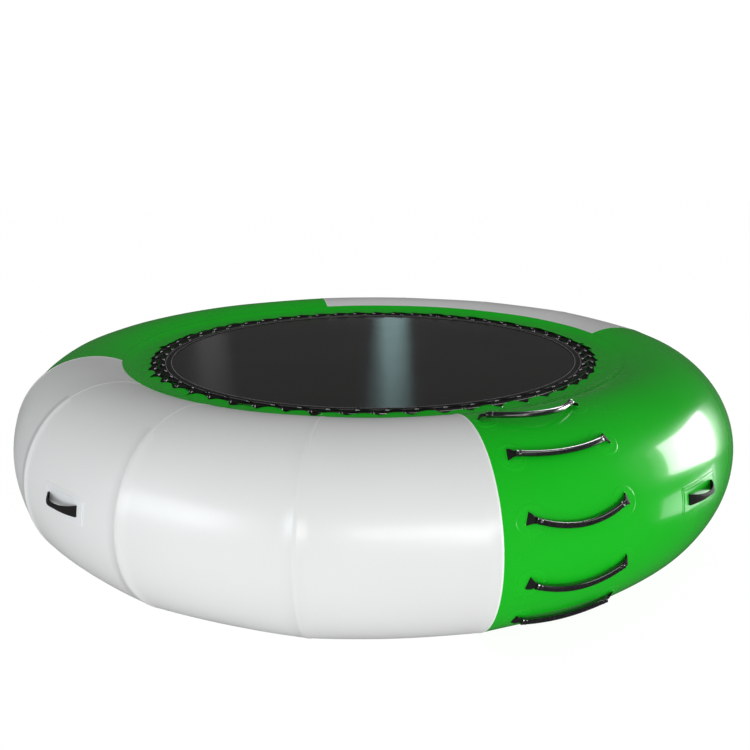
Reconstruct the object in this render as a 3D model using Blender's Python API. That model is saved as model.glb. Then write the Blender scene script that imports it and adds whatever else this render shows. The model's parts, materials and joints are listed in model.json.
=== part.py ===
# Water trampoline: a ring of inflated panels with a laced jumping mat, a cover flap, a boarding
# ladder, carry handles, mooring rings and an inflation valve. Metres, +Z up, camera side at -Y.
# Azimuth 0 faces -Y and grows towards +X. Section angle 0 is the tube's outer equator, 90 its crown.

import math

import bmesh
import bpy
from mathutils import Matrix, Vector

# Tube
OUTER_DIAMETER = 4.0
TUBE_WIDTH = 0.842
TUBE_HEIGHT = 0.918
SKIN_THICKNESS = 0.0009
PANEL_COUNT = 16
SPANS_PER_PANEL = 3
SECTION_SIDES = 20
FIRST_SEAM = math.radians(14.0)
PANELS_PER_COLOUR = 4

# Edges flatter than this look round
SMOOTH_ANGLE = math.radians(35.0)

# Clearances
FIT_GAP = 0.0003
BED_CLEARANCE = 0.008
RUN_CLEARANCE = 0.0005

# Anchor band, the black strip that leaves the tube at bed height
BAND_SEAT_SECTION = math.radians(123.0)
BAND_OUTER_SECTION = math.radians(119.0)
BAND_REACH = 0.1106
BAND_THICKNESS = 0.002

# Lugs for the lacing, on the anchor band and on the mat's hem
LACE_COUNT = 56
LACE_QUARTERS = 4
LACE_PHASE = math.radians(-0.25)
LACE_DIAMETER = 0.008
LUG_LENGTH = 0.024
LUG_DEPTH = 0.012
LUG_RISE = 0.012
LUG_INSET = 0.002
LACE_END_GAP = 0.003

# Jumping mat
MAT_THICKNESS = 0.002
HEM_REACH = 0.029
HEM_OVERLAP = 0.049
HEM_THICKNESS = 0.002
BORDER_WIDTH = 0.040
BORDER_THICKNESS = 0.0025

# Cover flap
FLAP_OUTER_SECTION = math.radians(112.0)
FLAP_THICKNESS = 0.001
FLAP_MARGIN = 0.036
FLAP_LIFT = 0.004
NOTCH_DEPTH = 0.026
NOTCH_SHIFT_SHARE = 0.22
NOTCH_WIDTH_SHARE = 0.32

# Boarding ladder
LADDER_AZIMUTH = math.radians(24.0)
RUNG_SECTIONS = (84.6, 53.6, 20.5, -11.6, -38.0)
RUNG_SPAN = 0.450
RUNG_DIAMETER = 0.026
RUNG_END_DIAMETER = 0.022
RUNG_AXIS_RISE = 0.021
RUNG_DROP = 0.094
RUNG_DROP_SHARES = (1.0, 0.35, 0.51, 0.45, 0.20)
RUNG_LIFT = 0.012
RUNG_STATIONS = 11
RUNG_SIDES = 8
RUNG_END_ANGLES = (40.0, 70.0)
RUNG_PATCH_DIAMETER = 0.130
TAB_WIDTH = 0.040
TAB_THICKNESS = 0.004
TAB_RISE = 0.033

# Patches welded to the skin
PATCH_THICKNESS = 0.0012
PATCH_SINK = 0.05
PATCH_SIDES = 20

# Carry handles
HANDLE_COUNT = 4
HANDLE_FIRST_PANEL = 1
# degrees that each handle sits off its panel's middle
HANDLE_SHIFTS = (-1.7, -0.9, -0.9, 0.4)
HANDLE_SECTION = math.radians(8.4)
HANDLE_SPAN = 0.230
HANDLE_WIDTH = 0.050
HANDLE_STRAP = 0.003
HANDLE_ROLL = 0.006
HANDLE_STRAP_SIDES = 8
HANDLE_RISE = 0.042
HANDLE_DROOP = math.radians(-8.0)
HANDLE_STATIONS = 13
HANDLE_ARCH_POWER = 2.5
HANDLE_TAPER_SHARE = 0.95
HANDLE_PATCH_LENGTH = 0.330
HANDLE_PATCH_HEIGHT = 0.125
HANDLE_PATCH_STEP = 0.012
HANDLE_PATCH_CORNER = 0.015

# Mooring rings
MOORING_FIRST_SEAM = 3
MOORING_SECTION = math.radians(238.0)
MOORING_PATCH_DIAMETER = 0.120
MOORING_WIRE = 0.006
MOORING_WIRE_SIDES = 6
MOORING_BAR = 0.044
MOORING_REACH = 0.034
MOORING_AXIS_RISE = 0.0095
MOORING_TUNNEL_LENGTH = 0.026
MOORING_TUNNEL_WALL = 0.0025
MOORING_TUNNEL_STEPS = 6
MOORING_TILT = math.radians(4.0)
MOORING_ARC_STEPS = 10
MOORING_BEND_STEPS = 3
MOORING_BEND_RADIUS = 0.007
MOORING_BORE_SIDES = 12

# Inflation valve
VALVE_PANEL = 7
VALVE_SECTION = math.radians(36.0)
VALVE_SIDES = 16
VALVE_FLANGE_DIAMETER = 0.066
VALVE_FLANGE_THICKNESS = 0.003
VALVE_COLLAR_DIAMETER = 0.044
VALVE_COLLAR_RISE = 0.011
VALVE_BARREL_DIAMETER = 0.040
VALVE_BARREL_DEPTH = 0.024
VALVE_BORE_DIAMETER = 0.034
VALVE_WEB_DEPTH = 0.012
VALVE_WEB_THICKNESS = 0.003
VALVE_PORT_DIAMETER = 0.007
VALVE_PORT_COUNT = 4
VALVE_PORT_SIDES = 8
PLUNGER_STEM_DIAMETER = 0.006
PLUNGER_BUTTON_DIAMETER = 0.014
PLUNGER_BUTTON_HEIGHT = 0.003
PLUNGER_BUTTON_RISE = 0.003
PLUNGER_DISC_THICKNESS = 0.003
PLUNGER_DISC_MARGIN = 0.0015
SPRING_WIRE = 0.001
SPRING_COIL_DIAMETER = 0.011
SPRING_TURNS = 4
SPRING_POINTS_PER_TURN = 10
CAP_WALL = 0.0025
CAP_ROOF = 0.002
CAP_HEADROOM = 0.005
CAP_RIB_DEPTH = 0.001
CAP_RIBS = 16

# Places worked out from the sizes above
TUBE_RADIUS = TUBE_WIDTH / 2
TUBE_HALF_HEIGHT = TUBE_HEIGHT / 2
RING_RADIUS = OUTER_DIAMETER / 2 - TUBE_RADIUS
SPAN_COUNT = PANEL_COUNT * SPANS_PER_PANEL
PANEL_STEP = 2 * math.pi / PANEL_COUNT
SPAN_STEP = 2 * math.pi / SPAN_COUNT
SECTION_STEP = 2 * math.pi / SECTION_SIDES
LACE_STEP = 2 * math.pi / LACE_COUNT

WHITE = ((0.80, 0.82, 0.84), 0.28, 0.0)
GREEN = ((0.015, 0.42, 0.030), 0.25, 0.0)
BLACK = ((0.012, 0.012, 0.014), 0.55, 0.0)
MAT_BLACK = ((0.022, 0.024, 0.026), 0.40, 0.0)
VALVE_GREY = ((0.045, 0.045, 0.050), 0.45, 0.0)
STEEL = ((0.62, 0.63, 0.64), 0.25, 1.0)


def clear_scene():
    for obj in list(bpy.data.objects):
        bpy.data.objects.remove(obj, do_unlink=True)


def material_of(name, finish):
    colour, roughness, metallic = finish
    material = bpy.data.materials.get(name) or bpy.data.materials.new(name)
    material.use_nodes = True
    shader = material.node_tree.nodes["Principled BSDF"]
    shader.inputs["Base Color"].default_value = (*colour, 1.0)
    shader.inputs["Roughness"].default_value = roughness
    shader.inputs["Metallic"].default_value = metallic
    return material


def add_object(name, data, finish, frame=None):
    obj = bpy.data.objects.new(name, data)
    bpy.context.scene.collection.objects.link(obj)
    obj.matrix_world = frame or Matrix.Identity(4)
    if finish:
        data.materials.append(material_of(finish[0], finish[1]))
    return obj


def loft(name, rings, finish=None, wrap=False, frame=None, smooth=True):
    """A closed body through rings of points. It is capped at both ends, or wraps onto itself."""
    mesh_build = bmesh.new()
    rows = [[mesh_build.verts.new(point) for point in ring] for ring in rings]
    pairs = list(zip(rows, rows[1:]))
    if wrap:
        pairs.append((rows[-1], rows[0]))
    else:
        mesh_build.faces.new(rows[0])
        mesh_build.faces.new(rows[-1])
    for row, after in pairs:
        for i, corner in enumerate(row):
            j = (i + 1) % len(row)
            mesh_build.faces.new((corner, row[j], after[j], after[i]))
    return finish_mesh(name, mesh_build, finish, frame, smooth)


def finish_mesh(name, mesh_build, finish, frame, smooth):
    bmesh.ops.recalc_face_normals(mesh_build, faces=mesh_build.faces)
    mesh = bpy.data.meshes.new(name)
    mesh_build.to_mesh(mesh)
    mesh_build.free()
    obj = add_object(name, mesh, finish, frame)
    if smooth:
        mesh.shade_smooth()
        mesh.set_sharp_from_angle(angle=SMOOTH_ANGLE)
    return obj


def as_helper(obj):
    obj.hide_render = True
    obj.display_type = "WIRE"
    return obj


def cut(obj, helper, operation):
    modifier = obj.modifiers.new(f"{operation.lower()}_{helper.name}", "BOOLEAN")
    modifier.operation = operation
    modifier.object = helper
    return obj


def circle(radius, sides, height=0.0, phase=0.0):
    points = []
    for i in range(sides):
        angle = phase + 2 * math.pi * i / sides
        points.append(Vector((radius * math.cos(angle), radius * math.sin(angle), height)))
    return points


def stepped_shaft(name, steps, sides, finish=None, frame=None):
    """A solid turned from (radius, height) steps along local Z."""
    return loft(name, [circle(radius, sides, height) for radius, height in steps], finish, frame=frame)


def turned_ring(name, profile, sides, finish, frame):
    """A hollow turned from a closed (radius, height) profile round local Z."""
    rings = []
    for i in range(sides):
        turn = Matrix.Rotation(2 * math.pi * i / sides, 4, "Z")
        rings.append([turn @ Vector((radius, 0.0, height)) for radius, height in profile])
    return loft(name, rings, finish, wrap=True, frame=frame)


def around(azimuth, radius, height):
    return Vector((radius * math.sin(azimuth), -radius * math.cos(azimuth), height))


def section_corner(index, offset):
    angle = (index + 0.5) * SECTION_STEP
    spread = 1 / math.cos(SECTION_STEP / 2)
    radius = RING_RADIUS + (TUBE_RADIUS + offset) * spread * math.cos(angle)
    height = TUBE_HALF_HEIGHT + (TUBE_HALF_HEIGHT + offset) * spread * math.sin(angle)
    return Vector((radius, height))


def section_point(section, offset):
    """(radius, height) on the tube's faceted cross-section, offset outwards."""
    place = section / SECTION_STEP - 0.5
    index = math.floor(place)
    return section_corner(index, offset).lerp(section_corner(index + 1, offset), place - index)


def skin_point(azimuth, section, offset):
    radius, height = section_point(section, offset)
    place = (azimuth - FIRST_SEAM) / SPAN_STEP
    index = math.floor(place)
    start = around(FIRST_SEAM + index * SPAN_STEP, radius, height)
    end = around(FIRST_SEAM + (index + 1) * SPAN_STEP, radius, height)
    return start.lerp(end, place - index)


def skin_directions(azimuth, section):
    """(along, up, out) on the tube's skin: along grows with azimuth, up with the section angle."""
    along = Vector((math.cos(azimuth), math.sin(azimuth), 0.0))
    outward = around(azimuth, 1.0, 0.0)
    out = outward * (math.cos(section) / TUBE_RADIUS) + Vector((0, 0, 1)) * (math.sin(section) / TUBE_HALF_HEIGHT)
    out.normalize()
    return along, out.cross(along), out


def frame_of(origin, along, up, out):
    frame = Matrix((along, up, out)).transposed().to_4x4()
    frame.translation = origin
    return frame


def skin_frame(azimuth, section, offset):
    return frame_of(skin_point(azimuth, section, offset), *skin_directions(azimuth, section))


def chord_frame(azimuth, section, span, rise):
    """A frame on the line between two points of the skin this far apart, raised off it."""
    half_turn = math.asin(span / 2 / section_point(section, 0.0)[0])
    left = skin_point(azimuth - half_turn, section, 0.0)
    right = skin_point(azimuth + half_turn, section, 0.0)
    out = skin_directions(azimuth, section)[2]
    along = (right - left).normalized()
    up = out.cross(along).normalized()
    out = along.cross(up)
    return frame_of((left + right) / 2 + out * rise, along, up, out), half_turn


def panel_centre(index):
    return FIRST_SEAM + (index + 0.5) * PANEL_STEP


def make_tube_solid(name, offset):
    """The whole tube as one solid, grown by an offset, which cuts the underside and top of patches."""
    rings = []
    for i in range(SPAN_COUNT):
        azimuth = FIRST_SEAM + i * SPAN_STEP
        corners = [section_corner(k, offset) for k in range(SECTION_SIDES)]
        rings.append([around(azimuth, radius, height) for radius, height in corners])
    return as_helper(loft(name, rings, wrap=True))


def make_panel(index):
    """One welded panel: a thin shell over its share of the ring, open at both ends."""
    mesh_build = bmesh.new()
    seam_turn = FIT_GAP / (RING_RADIUS - TUBE_RADIUS)
    start = FIRST_SEAM + index * PANEL_STEP
    azimuths = [start + i * SPAN_STEP for i in range(SPANS_PER_PANEL + 1)]
    azimuths[0] += seam_turn / 2
    azimuths[-1] -= seam_turn / 2
    walls = []
    for offset in (0.0, -SKIN_THICKNESS):
        corners = [section_corner(k, offset) for k in range(SECTION_SIDES)]
        walls.append([[mesh_build.verts.new(around(a, *corner)) for corner in corners] for a in azimuths])
    outer, inner = walls
    for k in range(SECTION_SIDES):
        after = (k + 1) % SECTION_SIDES
        for wall in walls:
            for row, following in zip(wall, wall[1:]):
                mesh_build.faces.new((row[k], row[after], following[after], following[k]))
        for end in (0, -1):
            mesh_build.faces.new((outer[end][k], outer[end][after], inner[end][after], inner[end][k]))
    white = (index // PANELS_PER_COLOUR) % 2 == 1
    finish = ("pvc_white", WHITE) if white else ("pvc_green", GREEN)
    return finish_mesh(f"tube_panel_{index + 1:02d}", mesh_build, finish, None, True)


def ring_through(name, profiles, finish):
    """A band round the object through (azimuth, profile) stations, each a closed (radius, height) loop."""
    rings = [[around(azimuth, *point) for point in profile] for azimuth, profile in profiles]
    return loft(name, rings, finish, wrap=True)


def even_ring(name, count, phase, profile, finish):
    azimuths = [phase + 2 * math.pi * i / count for i in range(count)]
    return ring_through(name, [(azimuth, profile) for azimuth in azimuths], finish)


def bed_sizes():
    """Radii and heights of the bed and its lacing, worked inwards from where the band leaves the tube."""
    facet_share = math.cos(SPAN_STEP / 2)
    seat_radius, seat_height = section_point(BAND_SEAT_SECTION, FIT_GAP)
    outer_radius, outer_height = section_point(BAND_OUTER_SECTION, FIT_GAP)
    sizes = {}
    sizes["band_outer"] = (outer_radius * facet_share, outer_height)
    sizes["band_seat"] = (seat_radius * facet_share, seat_height)
    sizes["base"] = seat_height
    sizes["top"] = seat_height + BAND_THICKNESS
    sizes["band_inner"] = seat_radius * facet_share - BAND_REACH
    sizes["outer_lug"] = sizes["band_inner"] + LUG_INSET + LUG_DEPTH / 2
    sizes["outer_bend"] = sizes["outer_lug"] + LUG_DEPTH / 2 + FIT_GAP + LACE_DIAMETER / 2
    sizes["hem_outer"] = sizes["band_inner"] - BED_CLEARANCE
    sizes["inner_lug"] = sizes["hem_outer"] - LUG_INSET - LUG_DEPTH / 2
    sizes["inner_bend"] = sizes["inner_lug"] - LUG_DEPTH / 2 - FIT_GAP - LACE_DIAMETER / 2
    sizes["mat_radius"] = sizes["hem_outer"] - HEM_REACH
    sizes["hem_inner"] = sizes["mat_radius"] - HEM_OVERLAP
    sizes["lace_height"] = sizes["top"] + FIT_GAP + LACE_DIAMETER / 2
    return sizes


def make_lugs(name, radius, base, phase):
    """All the lugs of one band as a helper: blocks that the band takes in with a union."""
    mesh_build = bmesh.new()
    sink = BAND_THICKNESS / 2
    for i in range(LACE_COUNT):
        azimuth = phase + i * LACE_STEP
        place = Matrix.Translation(around(azimuth, radius, base - sink / 2 + LUG_RISE / 2))
        turn = Matrix.Rotation(azimuth, 4, "Z")
        block = Matrix.Diagonal((LUG_LENGTH, LUG_DEPTH, LUG_RISE + sink, 1.0))
        bmesh.ops.create_cube(mesh_build, size=1.0, matrix=place @ turn @ block)
    return as_helper(finish_mesh(name, mesh_build, None, None, False))


def make_anchor_band(sizes):
    outer_radius, outer_height = sizes["band_outer"]
    seat_radius, seat_height = sizes["band_seat"]
    inner_radius = sizes["band_inner"]
    lift = BAND_THICKNESS
    profile = [
        (outer_radius, outer_height),
        (seat_radius, seat_height),
        (inner_radius, sizes["base"]),
        (inner_radius, sizes["top"]),
        (seat_radius, seat_height + lift),
        (outer_radius, outer_height + lift),
    ]
    phase = LACE_PHASE + LACE_STEP / 2
    band = even_ring("anchor_band", LACE_COUNT, phase, profile, ("webbing_black", BLACK))
    lugs = make_lugs("outer_lugs", sizes["outer_lug"], sizes["top"], LACE_PHASE)
    return cut(band, lugs, "UNION")


def make_mat(sizes):
    hem_bottom = sizes["top"] - HEM_THICKNESS
    profile = [
        (sizes["hem_inner"], hem_bottom),
        (sizes["hem_outer"], hem_bottom),
        (sizes["hem_outer"], sizes["top"]),
        (sizes["hem_inner"], sizes["top"]),
    ]
    hem = even_ring("mat_hem", LACE_COUNT, LACE_PHASE, profile, ("webbing_black", BLACK))
    cut(hem, make_lugs("inner_lugs", sizes["inner_lug"], sizes["top"], LACE_PHASE + LACE_STEP / 2), "UNION")
    mat_bottom = sizes["top"] + FIT_GAP
    mat_top = mat_bottom + MAT_THICKNESS
    rims = [circle(sizes["mat_radius"], LACE_COUNT, height, LACE_PHASE) for height in (mat_bottom, mat_top)]
    loft("jump_mat", rims, ("mat_black", MAT_BLACK))
    border_bottom = mat_top + FIT_GAP
    border_top = border_bottom + BORDER_THICKNESS
    border_inner = sizes["mat_radius"] - BORDER_WIDTH
    profile = [
        (border_inner, border_bottom),
        (sizes["mat_radius"], border_bottom),
        (sizes["mat_radius"], border_top),
        (border_inner, border_top),
    ]
    even_ring("mat_border", LACE_COUNT, LACE_PHASE, profile, ("webbing_black", BLACK))


def make_lacing(sizes):
    """The elastic cord, one length for each quarter, round the outer and the inner lugs in turn."""
    outer_side = (LUG_LENGTH + LACE_DIAMETER) / 2 / sizes["outer_lug"]
    inner_side = (LUG_LENGTH + LACE_DIAMETER) / 2 / sizes["inner_lug"]
    per_quarter = LACE_COUNT // LACE_QUARTERS
    end_turn = LACE_END_GAP / 2 / sizes["outer_bend"]
    for quarter in range(LACE_QUARTERS):
        first = LACE_PHASE + quarter * per_quarter * LACE_STEP
        places = [(first + end_turn, sizes["outer_bend"])]
        for i in range(per_quarter):
            outer_lug = first + i * LACE_STEP
            inner_lug = outer_lug + LACE_STEP / 2
            places.append((outer_lug + outer_side, sizes["outer_bend"]))
            places.append((inner_lug - inner_side, sizes["inner_bend"]))
            places.append((inner_lug + inner_side, sizes["inner_bend"]))
            places.append((outer_lug + LACE_STEP - outer_side, sizes["outer_bend"]))
        places.append((first + per_quarter * LACE_STEP - end_turn, sizes["outer_bend"]))
        route = [around(azimuth, radius, sizes["lace_height"]) for azimuth, radius in places]
        add_cord(f"lacing_{quarter + 1}", route, LACE_DIAMETER, 1, ("elastic_black", BLACK))


def add_cord(name, route, diameter, resolution, finish, frame=None):
    curve = bpy.data.curves.new(name, "CURVE")
    curve.dimensions = "3D"
    curve.bevel_depth = diameter / 2
    curve.bevel_resolution = resolution
    curve.use_fill_caps = True
    spline = curve.splines.new("POLY")
    spline.points.add(len(route) - 1)
    for point, place in zip(spline.points, route):
        point.co = (*place, 1.0)
    return add_object(name, curve, finish, frame)


def make_flap(sizes):
    """The cover flap, welded on the inner shoulder, with a notch at each outer lacing lug."""
    outer_radius, outer_height = section_point(FLAP_OUTER_SECTION, FIT_GAP)
    outer_radius *= math.cos(SPAN_STEP / 2)
    hem_height = sizes["top"] + FLAP_LIFT
    hem_radius = sizes["band_inner"] + FLAP_MARGIN
    notch_radius = hem_radius + NOTCH_DEPTH
    notch_height = hem_height + NOTCH_DEPTH * (outer_height - hem_height) / (outer_radius - hem_radius)
    half_notch = NOTCH_WIDTH_SHARE * LACE_STEP / 2
    stations = []
    for i in range(LACE_COUNT):
        notch = LACE_PHASE + (i + NOTCH_SHIFT_SHARE) * LACE_STEP
        for azimuth, radius, height in (
            (notch - half_notch, hem_radius, hem_height),
            (notch, notch_radius, notch_height),
            (notch + half_notch, hem_radius, hem_height),
        ):
            under = [(outer_radius, outer_height), (radius, height)]
            over = [(r, z + FLAP_THICKNESS) for r, z in reversed(under)]
            stations.append((azimuth, under + over))
    ring_through("cover_flap", stations, ("pvc_green", GREEN))


def round_outline(diameter, sides):
    return [(point.x, point.y) for point in circle(diameter / 2, sides)]


def cut_corner_outline(length, height, corner):
    half_x, half_y = length / 2, height / 2
    points = []
    for sign_x, sign_y in ((1, -1), (1, 1), (-1, 1), (-1, -1)):
        near_x = (sign_x * (half_x - corner), sign_y * half_y)
        near_y = (sign_x * half_x, sign_y * (half_y - corner))
        points += [near_x, near_y] if sign_x * sign_y < 0 else [near_y, near_x]
    return points


def make_prism(name, outline, frame, finish=None):
    rings = [[Vector((x, y, height)) for x, y in outline] for height in (-PATCH_SINK, PATCH_SINK)]
    return loft(name, rings, finish, frame=frame, smooth=False)


def make_patch(name, outline, frame, finish, cutters, additions=()):
    """A plate that follows the skin: a prism held between two grown tubes, with blocks added to it."""
    patch = cut(make_prism(name, outline, frame, finish), cutters["patch_top"], "INTERSECT")
    for addition in additions:
        cut(patch, addition, "UNION")
    return cut(patch, cutters["skin"], "DIFFERENCE")


def sweep(name, centres, sizes_along, outline, finish, frame, up):
    """A body along centres in the frame, its cross-section an outline scaled at each station."""
    rings = []
    for i, centre in enumerate(centres):
        ahead = centres[min(i + 1, len(centres) - 1)] - centres[max(i - 1, 0)]
        if i in (0, len(centres) - 1):
            ahead.z = 0.0
        side = ahead.cross(up).normalized()
        lift = side.cross(ahead).normalized()
        wide, thick = sizes_along[i]
        rings.append([centre + lift * (x * wide) + side * (y * thick) for x, y in outline])
    return loft(name, rings, finish, frame=frame)


def make_rung(number, section, cutters):
    section = math.radians(section)
    frame, half_turn = chord_frame(LADDER_AZIMUTH, section, RUNG_SPAN, RUNG_AXIS_RISE)
    drop_share = RUNG_DROP_SHARES[number - 1]
    end_radius = RUNG_END_DIAMETER / 2
    hose_radius = RUNG_DIAMETER / 2
    reach = RUNG_SPAN / 2 - TAB_THICKNESS / 2 - RUN_CLEARANCE - end_radius
    centres = []
    radii = []
    for i in range(RUNG_STATIONS):
        share = 2 * i / (RUNG_STATIONS - 1) - 1
        bow_share = 1 - share * share
        centres.append(Vector((share * reach, -RUNG_DROP * drop_share * bow_share, RUNG_LIFT * bow_share)))
        radii.append(end_radius if abs(share) == 1 else hose_radius)
    for end, inward in ((0, 1), (-1, -2)):
        away = (centres[end] - centres[inward]).normalized()
        middle = centres[end]
        angles = [math.radians(angle) for angle in RUNG_END_ANGLES]
        points = [middle + away * (end_radius * math.sin(angle)) for angle in angles]
        sizes = [end_radius * math.cos(angle) for angle in angles]
        if end == 0:
            centres = points[::-1] + centres
            radii = sizes[::-1] + radii
        else:
            centres += points
            radii += sizes
    outline = [(x, y) for x, y, _ in circle(1.0, RUNG_SIDES)]
    spans = [(radius, radius) for radius in radii]
    sweep(f"rung_{number}", centres, spans, outline, ("hose_black", BLACK), frame, Vector((0, 0, 1)))
    for side, sign in (("left", -1), ("right", 1)):
        azimuth = LADDER_AZIMUTH + sign * half_turn
        patch_frame = skin_frame(azimuth, section, 0.0)
        tab_frame = frame @ Matrix.Translation((sign * RUNG_SPAN / 2, 0, -RUNG_AXIS_RISE))
        tab = make_prism(f"tab_{number}_{side}", tab_outline(), tab_frame)
        tab.data.transform(Matrix.Translation((0, 0, TAB_RISE - PATCH_SINK)))
        outline = round_outline(RUNG_PATCH_DIAMETER, PATCH_SIDES)
        name = f"rung_patch_{number}_{side}"
        make_patch(name, outline, patch_frame, ("pvc_green", GREEN), cutters, [as_helper(tab)])


def tab_outline():
    half_x, half_y = TAB_THICKNESS / 2, TAB_WIDTH / 2
    return [(-half_x, -half_y), (half_x, -half_y), (half_x, half_y), (-half_x, half_y)]


def make_handle(number, cutters):
    panel = HANDLE_FIRST_PANEL + PANELS_PER_COLOUR * number
    azimuth = panel_centre(panel) + math.radians(HANDLE_SHIFTS[number])
    layers = FIT_GAP + 2 * PATCH_THICKNESS
    rise = layers + FIT_GAP + HANDLE_ROLL / 2
    frame, half_turn = chord_frame(azimuth, HANDLE_SECTION, HANDLE_SPAN, rise)
    centres = []
    spans = []
    for i in range(HANDLE_STATIONS):
        share = math.sin(math.pi / 2 * (2 * i / (HANDLE_STATIONS - 1) - 1))
        arch = HANDLE_RISE * (1 - abs(share) ** HANDLE_ARCH_POWER)
        width = min(HANDLE_WIDTH / 2, HANDLE_ROLL / 2 + HANDLE_TAPER_SHARE * arch)
        thickness = HANDLE_ROLL / 2 if abs(share) == 1 else HANDLE_STRAP / 2
        centres.append(Vector((share * HANDLE_SPAN / 2, 0.0, arch)))
        spans.append((width, thickness))
    droop = Matrix.Rotation(HANDLE_DROOP, 4, "X").inverted()
    outline = [(x, y) for x, y, _ in circle(1.0, HANDLE_STRAP_SIDES, phase=math.pi / HANDLE_STRAP_SIDES)]
    strap_frame = frame @ droop
    name = f"handle_{number + 1}"
    sweep(name, centres, spans, outline, ("webbing_black", BLACK), strap_frame, Vector((0, 1, 0)))
    white = (panel // PANELS_PER_COLOUR) % 2 == 1
    finish = ("pvc_white", WHITE) if white else ("pvc_green", GREEN)
    patch_frame = skin_frame(azimuth, HANDLE_SECTION, 0.0)
    lower = cut_corner_outline(HANDLE_PATCH_LENGTH, HANDLE_PATCH_HEIGHT, HANDLE_PATCH_CORNER)
    length = HANDLE_PATCH_LENGTH - 2 * HANDLE_PATCH_STEP
    height = HANDLE_PATCH_HEIGHT - 2 * HANDLE_PATCH_STEP
    upper = cut_corner_outline(length, height, HANDLE_PATCH_CORNER)
    top = as_helper(make_prism(f"handle_patch_top_{number + 1}", upper, patch_frame))
    cut(top, cutters["second_layer"], "INTERSECT")
    make_patch(f"handle_patch_{number + 1}", lower, patch_frame, finish, cutters, [top])


def mooring_path():
    """The D of a mooring ring in its own plane: a straight bar on local X, closed by a bow."""
    half_bar = MOORING_BAR / 2
    bend = MOORING_BEND_RADIUS
    corners = []
    for i in range(MOORING_BEND_STEPS):
        angle = math.pi / 2 * i / MOORING_BEND_STEPS
        corners.append((half_bar - bend + bend * math.sin(angle), bend - bend * math.cos(angle)))
    bow = []
    for i in range(MOORING_ARC_STEPS + 1):
        angle = math.pi * i / MOORING_ARC_STEPS
        bow.append((half_bar * math.cos(angle), bend + (MOORING_REACH - bend) * math.sin(angle)))
    mirrored = [(-x, y) for x, y in reversed(corners)]
    return [Vector((x, -y, 0.0)) for x, y in corners + bow + mirrored]


def closed_sweep(name, path, radius, sides, finish, frame):
    rings = []
    for i, centre in enumerate(path):
        ahead = (path[(i + 1) % len(path)] - path[i - 1]).normalized()
        side = ahead.cross(Vector((0, 0, 1))).normalized()
        ring = circle(radius, sides, phase=math.pi / sides)
        rings.append([centre + side * point.x + Vector((0, 0, 1)) * point.y for point in ring])
    return loft(name, rings, finish, wrap=True, frame=frame)


def tunnel_angles():
    return [math.pi * i / MOORING_TUNNEL_STEPS for i in range(MOORING_TUNNEL_STEPS + 1)]


def make_mooring(number, cutters):
    azimuth = FIRST_SEAM + (MOORING_FIRST_SEAM + PANELS_PER_COLOUR * number) * PANEL_STEP
    # the ring is on the wall that faces the well, so half a turn lets it hang down
    base_frame = skin_frame(azimuth, MOORING_SECTION, 0.0) @ Matrix.Rotation(math.pi, 4, "Z")
    axis_frame = base_frame @ Matrix.Translation((0, 0, MOORING_AXIS_RISE))
    tilt = Matrix.Rotation(-MOORING_TILT, 4, "X")
    finish = ("ring_steel", STEEL)
    name = f"anchor_ring_{number + 1}"
    closed_sweep(name, mooring_path(), MOORING_WIRE / 2, MOORING_WIRE_SIDES, finish, axis_frame @ tilt)
    bore = MOORING_WIRE / 2 + RUN_CLEARANCE
    shell = bore + MOORING_TUNNEL_WALL
    half = MOORING_TUNNEL_LENGTH / 2
    lay_down = Matrix.Rotation(math.pi / 2, 4, "Y")
    foot = -MOORING_AXIS_RISE - PATCH_SINK / 2
    arch = [(shell * math.cos(angle), shell * math.sin(angle)) for angle in tunnel_angles()]
    outline = [(shell, foot)] + arch + [(-shell, foot)]
    ends = [[Vector((x, y, z)) for y, z in outline] for x in (-half, half)]
    tunnel = loft(f"tunnel_{number}", ends, frame=axis_frame, smooth=False)
    drill = [(bore, -2 * half), (bore, 2 * half)]
    hole = stepped_shaft(f"bore_{number}", drill, MOORING_BORE_SIDES, frame=axis_frame @ lay_down)
    finish = ("webbing_black", BLACK)
    outline = round_outline(MOORING_PATCH_DIAMETER, PATCH_SIDES)
    name = f"anchor_patch_{number + 1}"
    patch = make_patch(name, outline, base_frame, finish, cutters, [as_helper(tunnel)])
    cut(patch, as_helper(hole), "DIFFERENCE")


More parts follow.
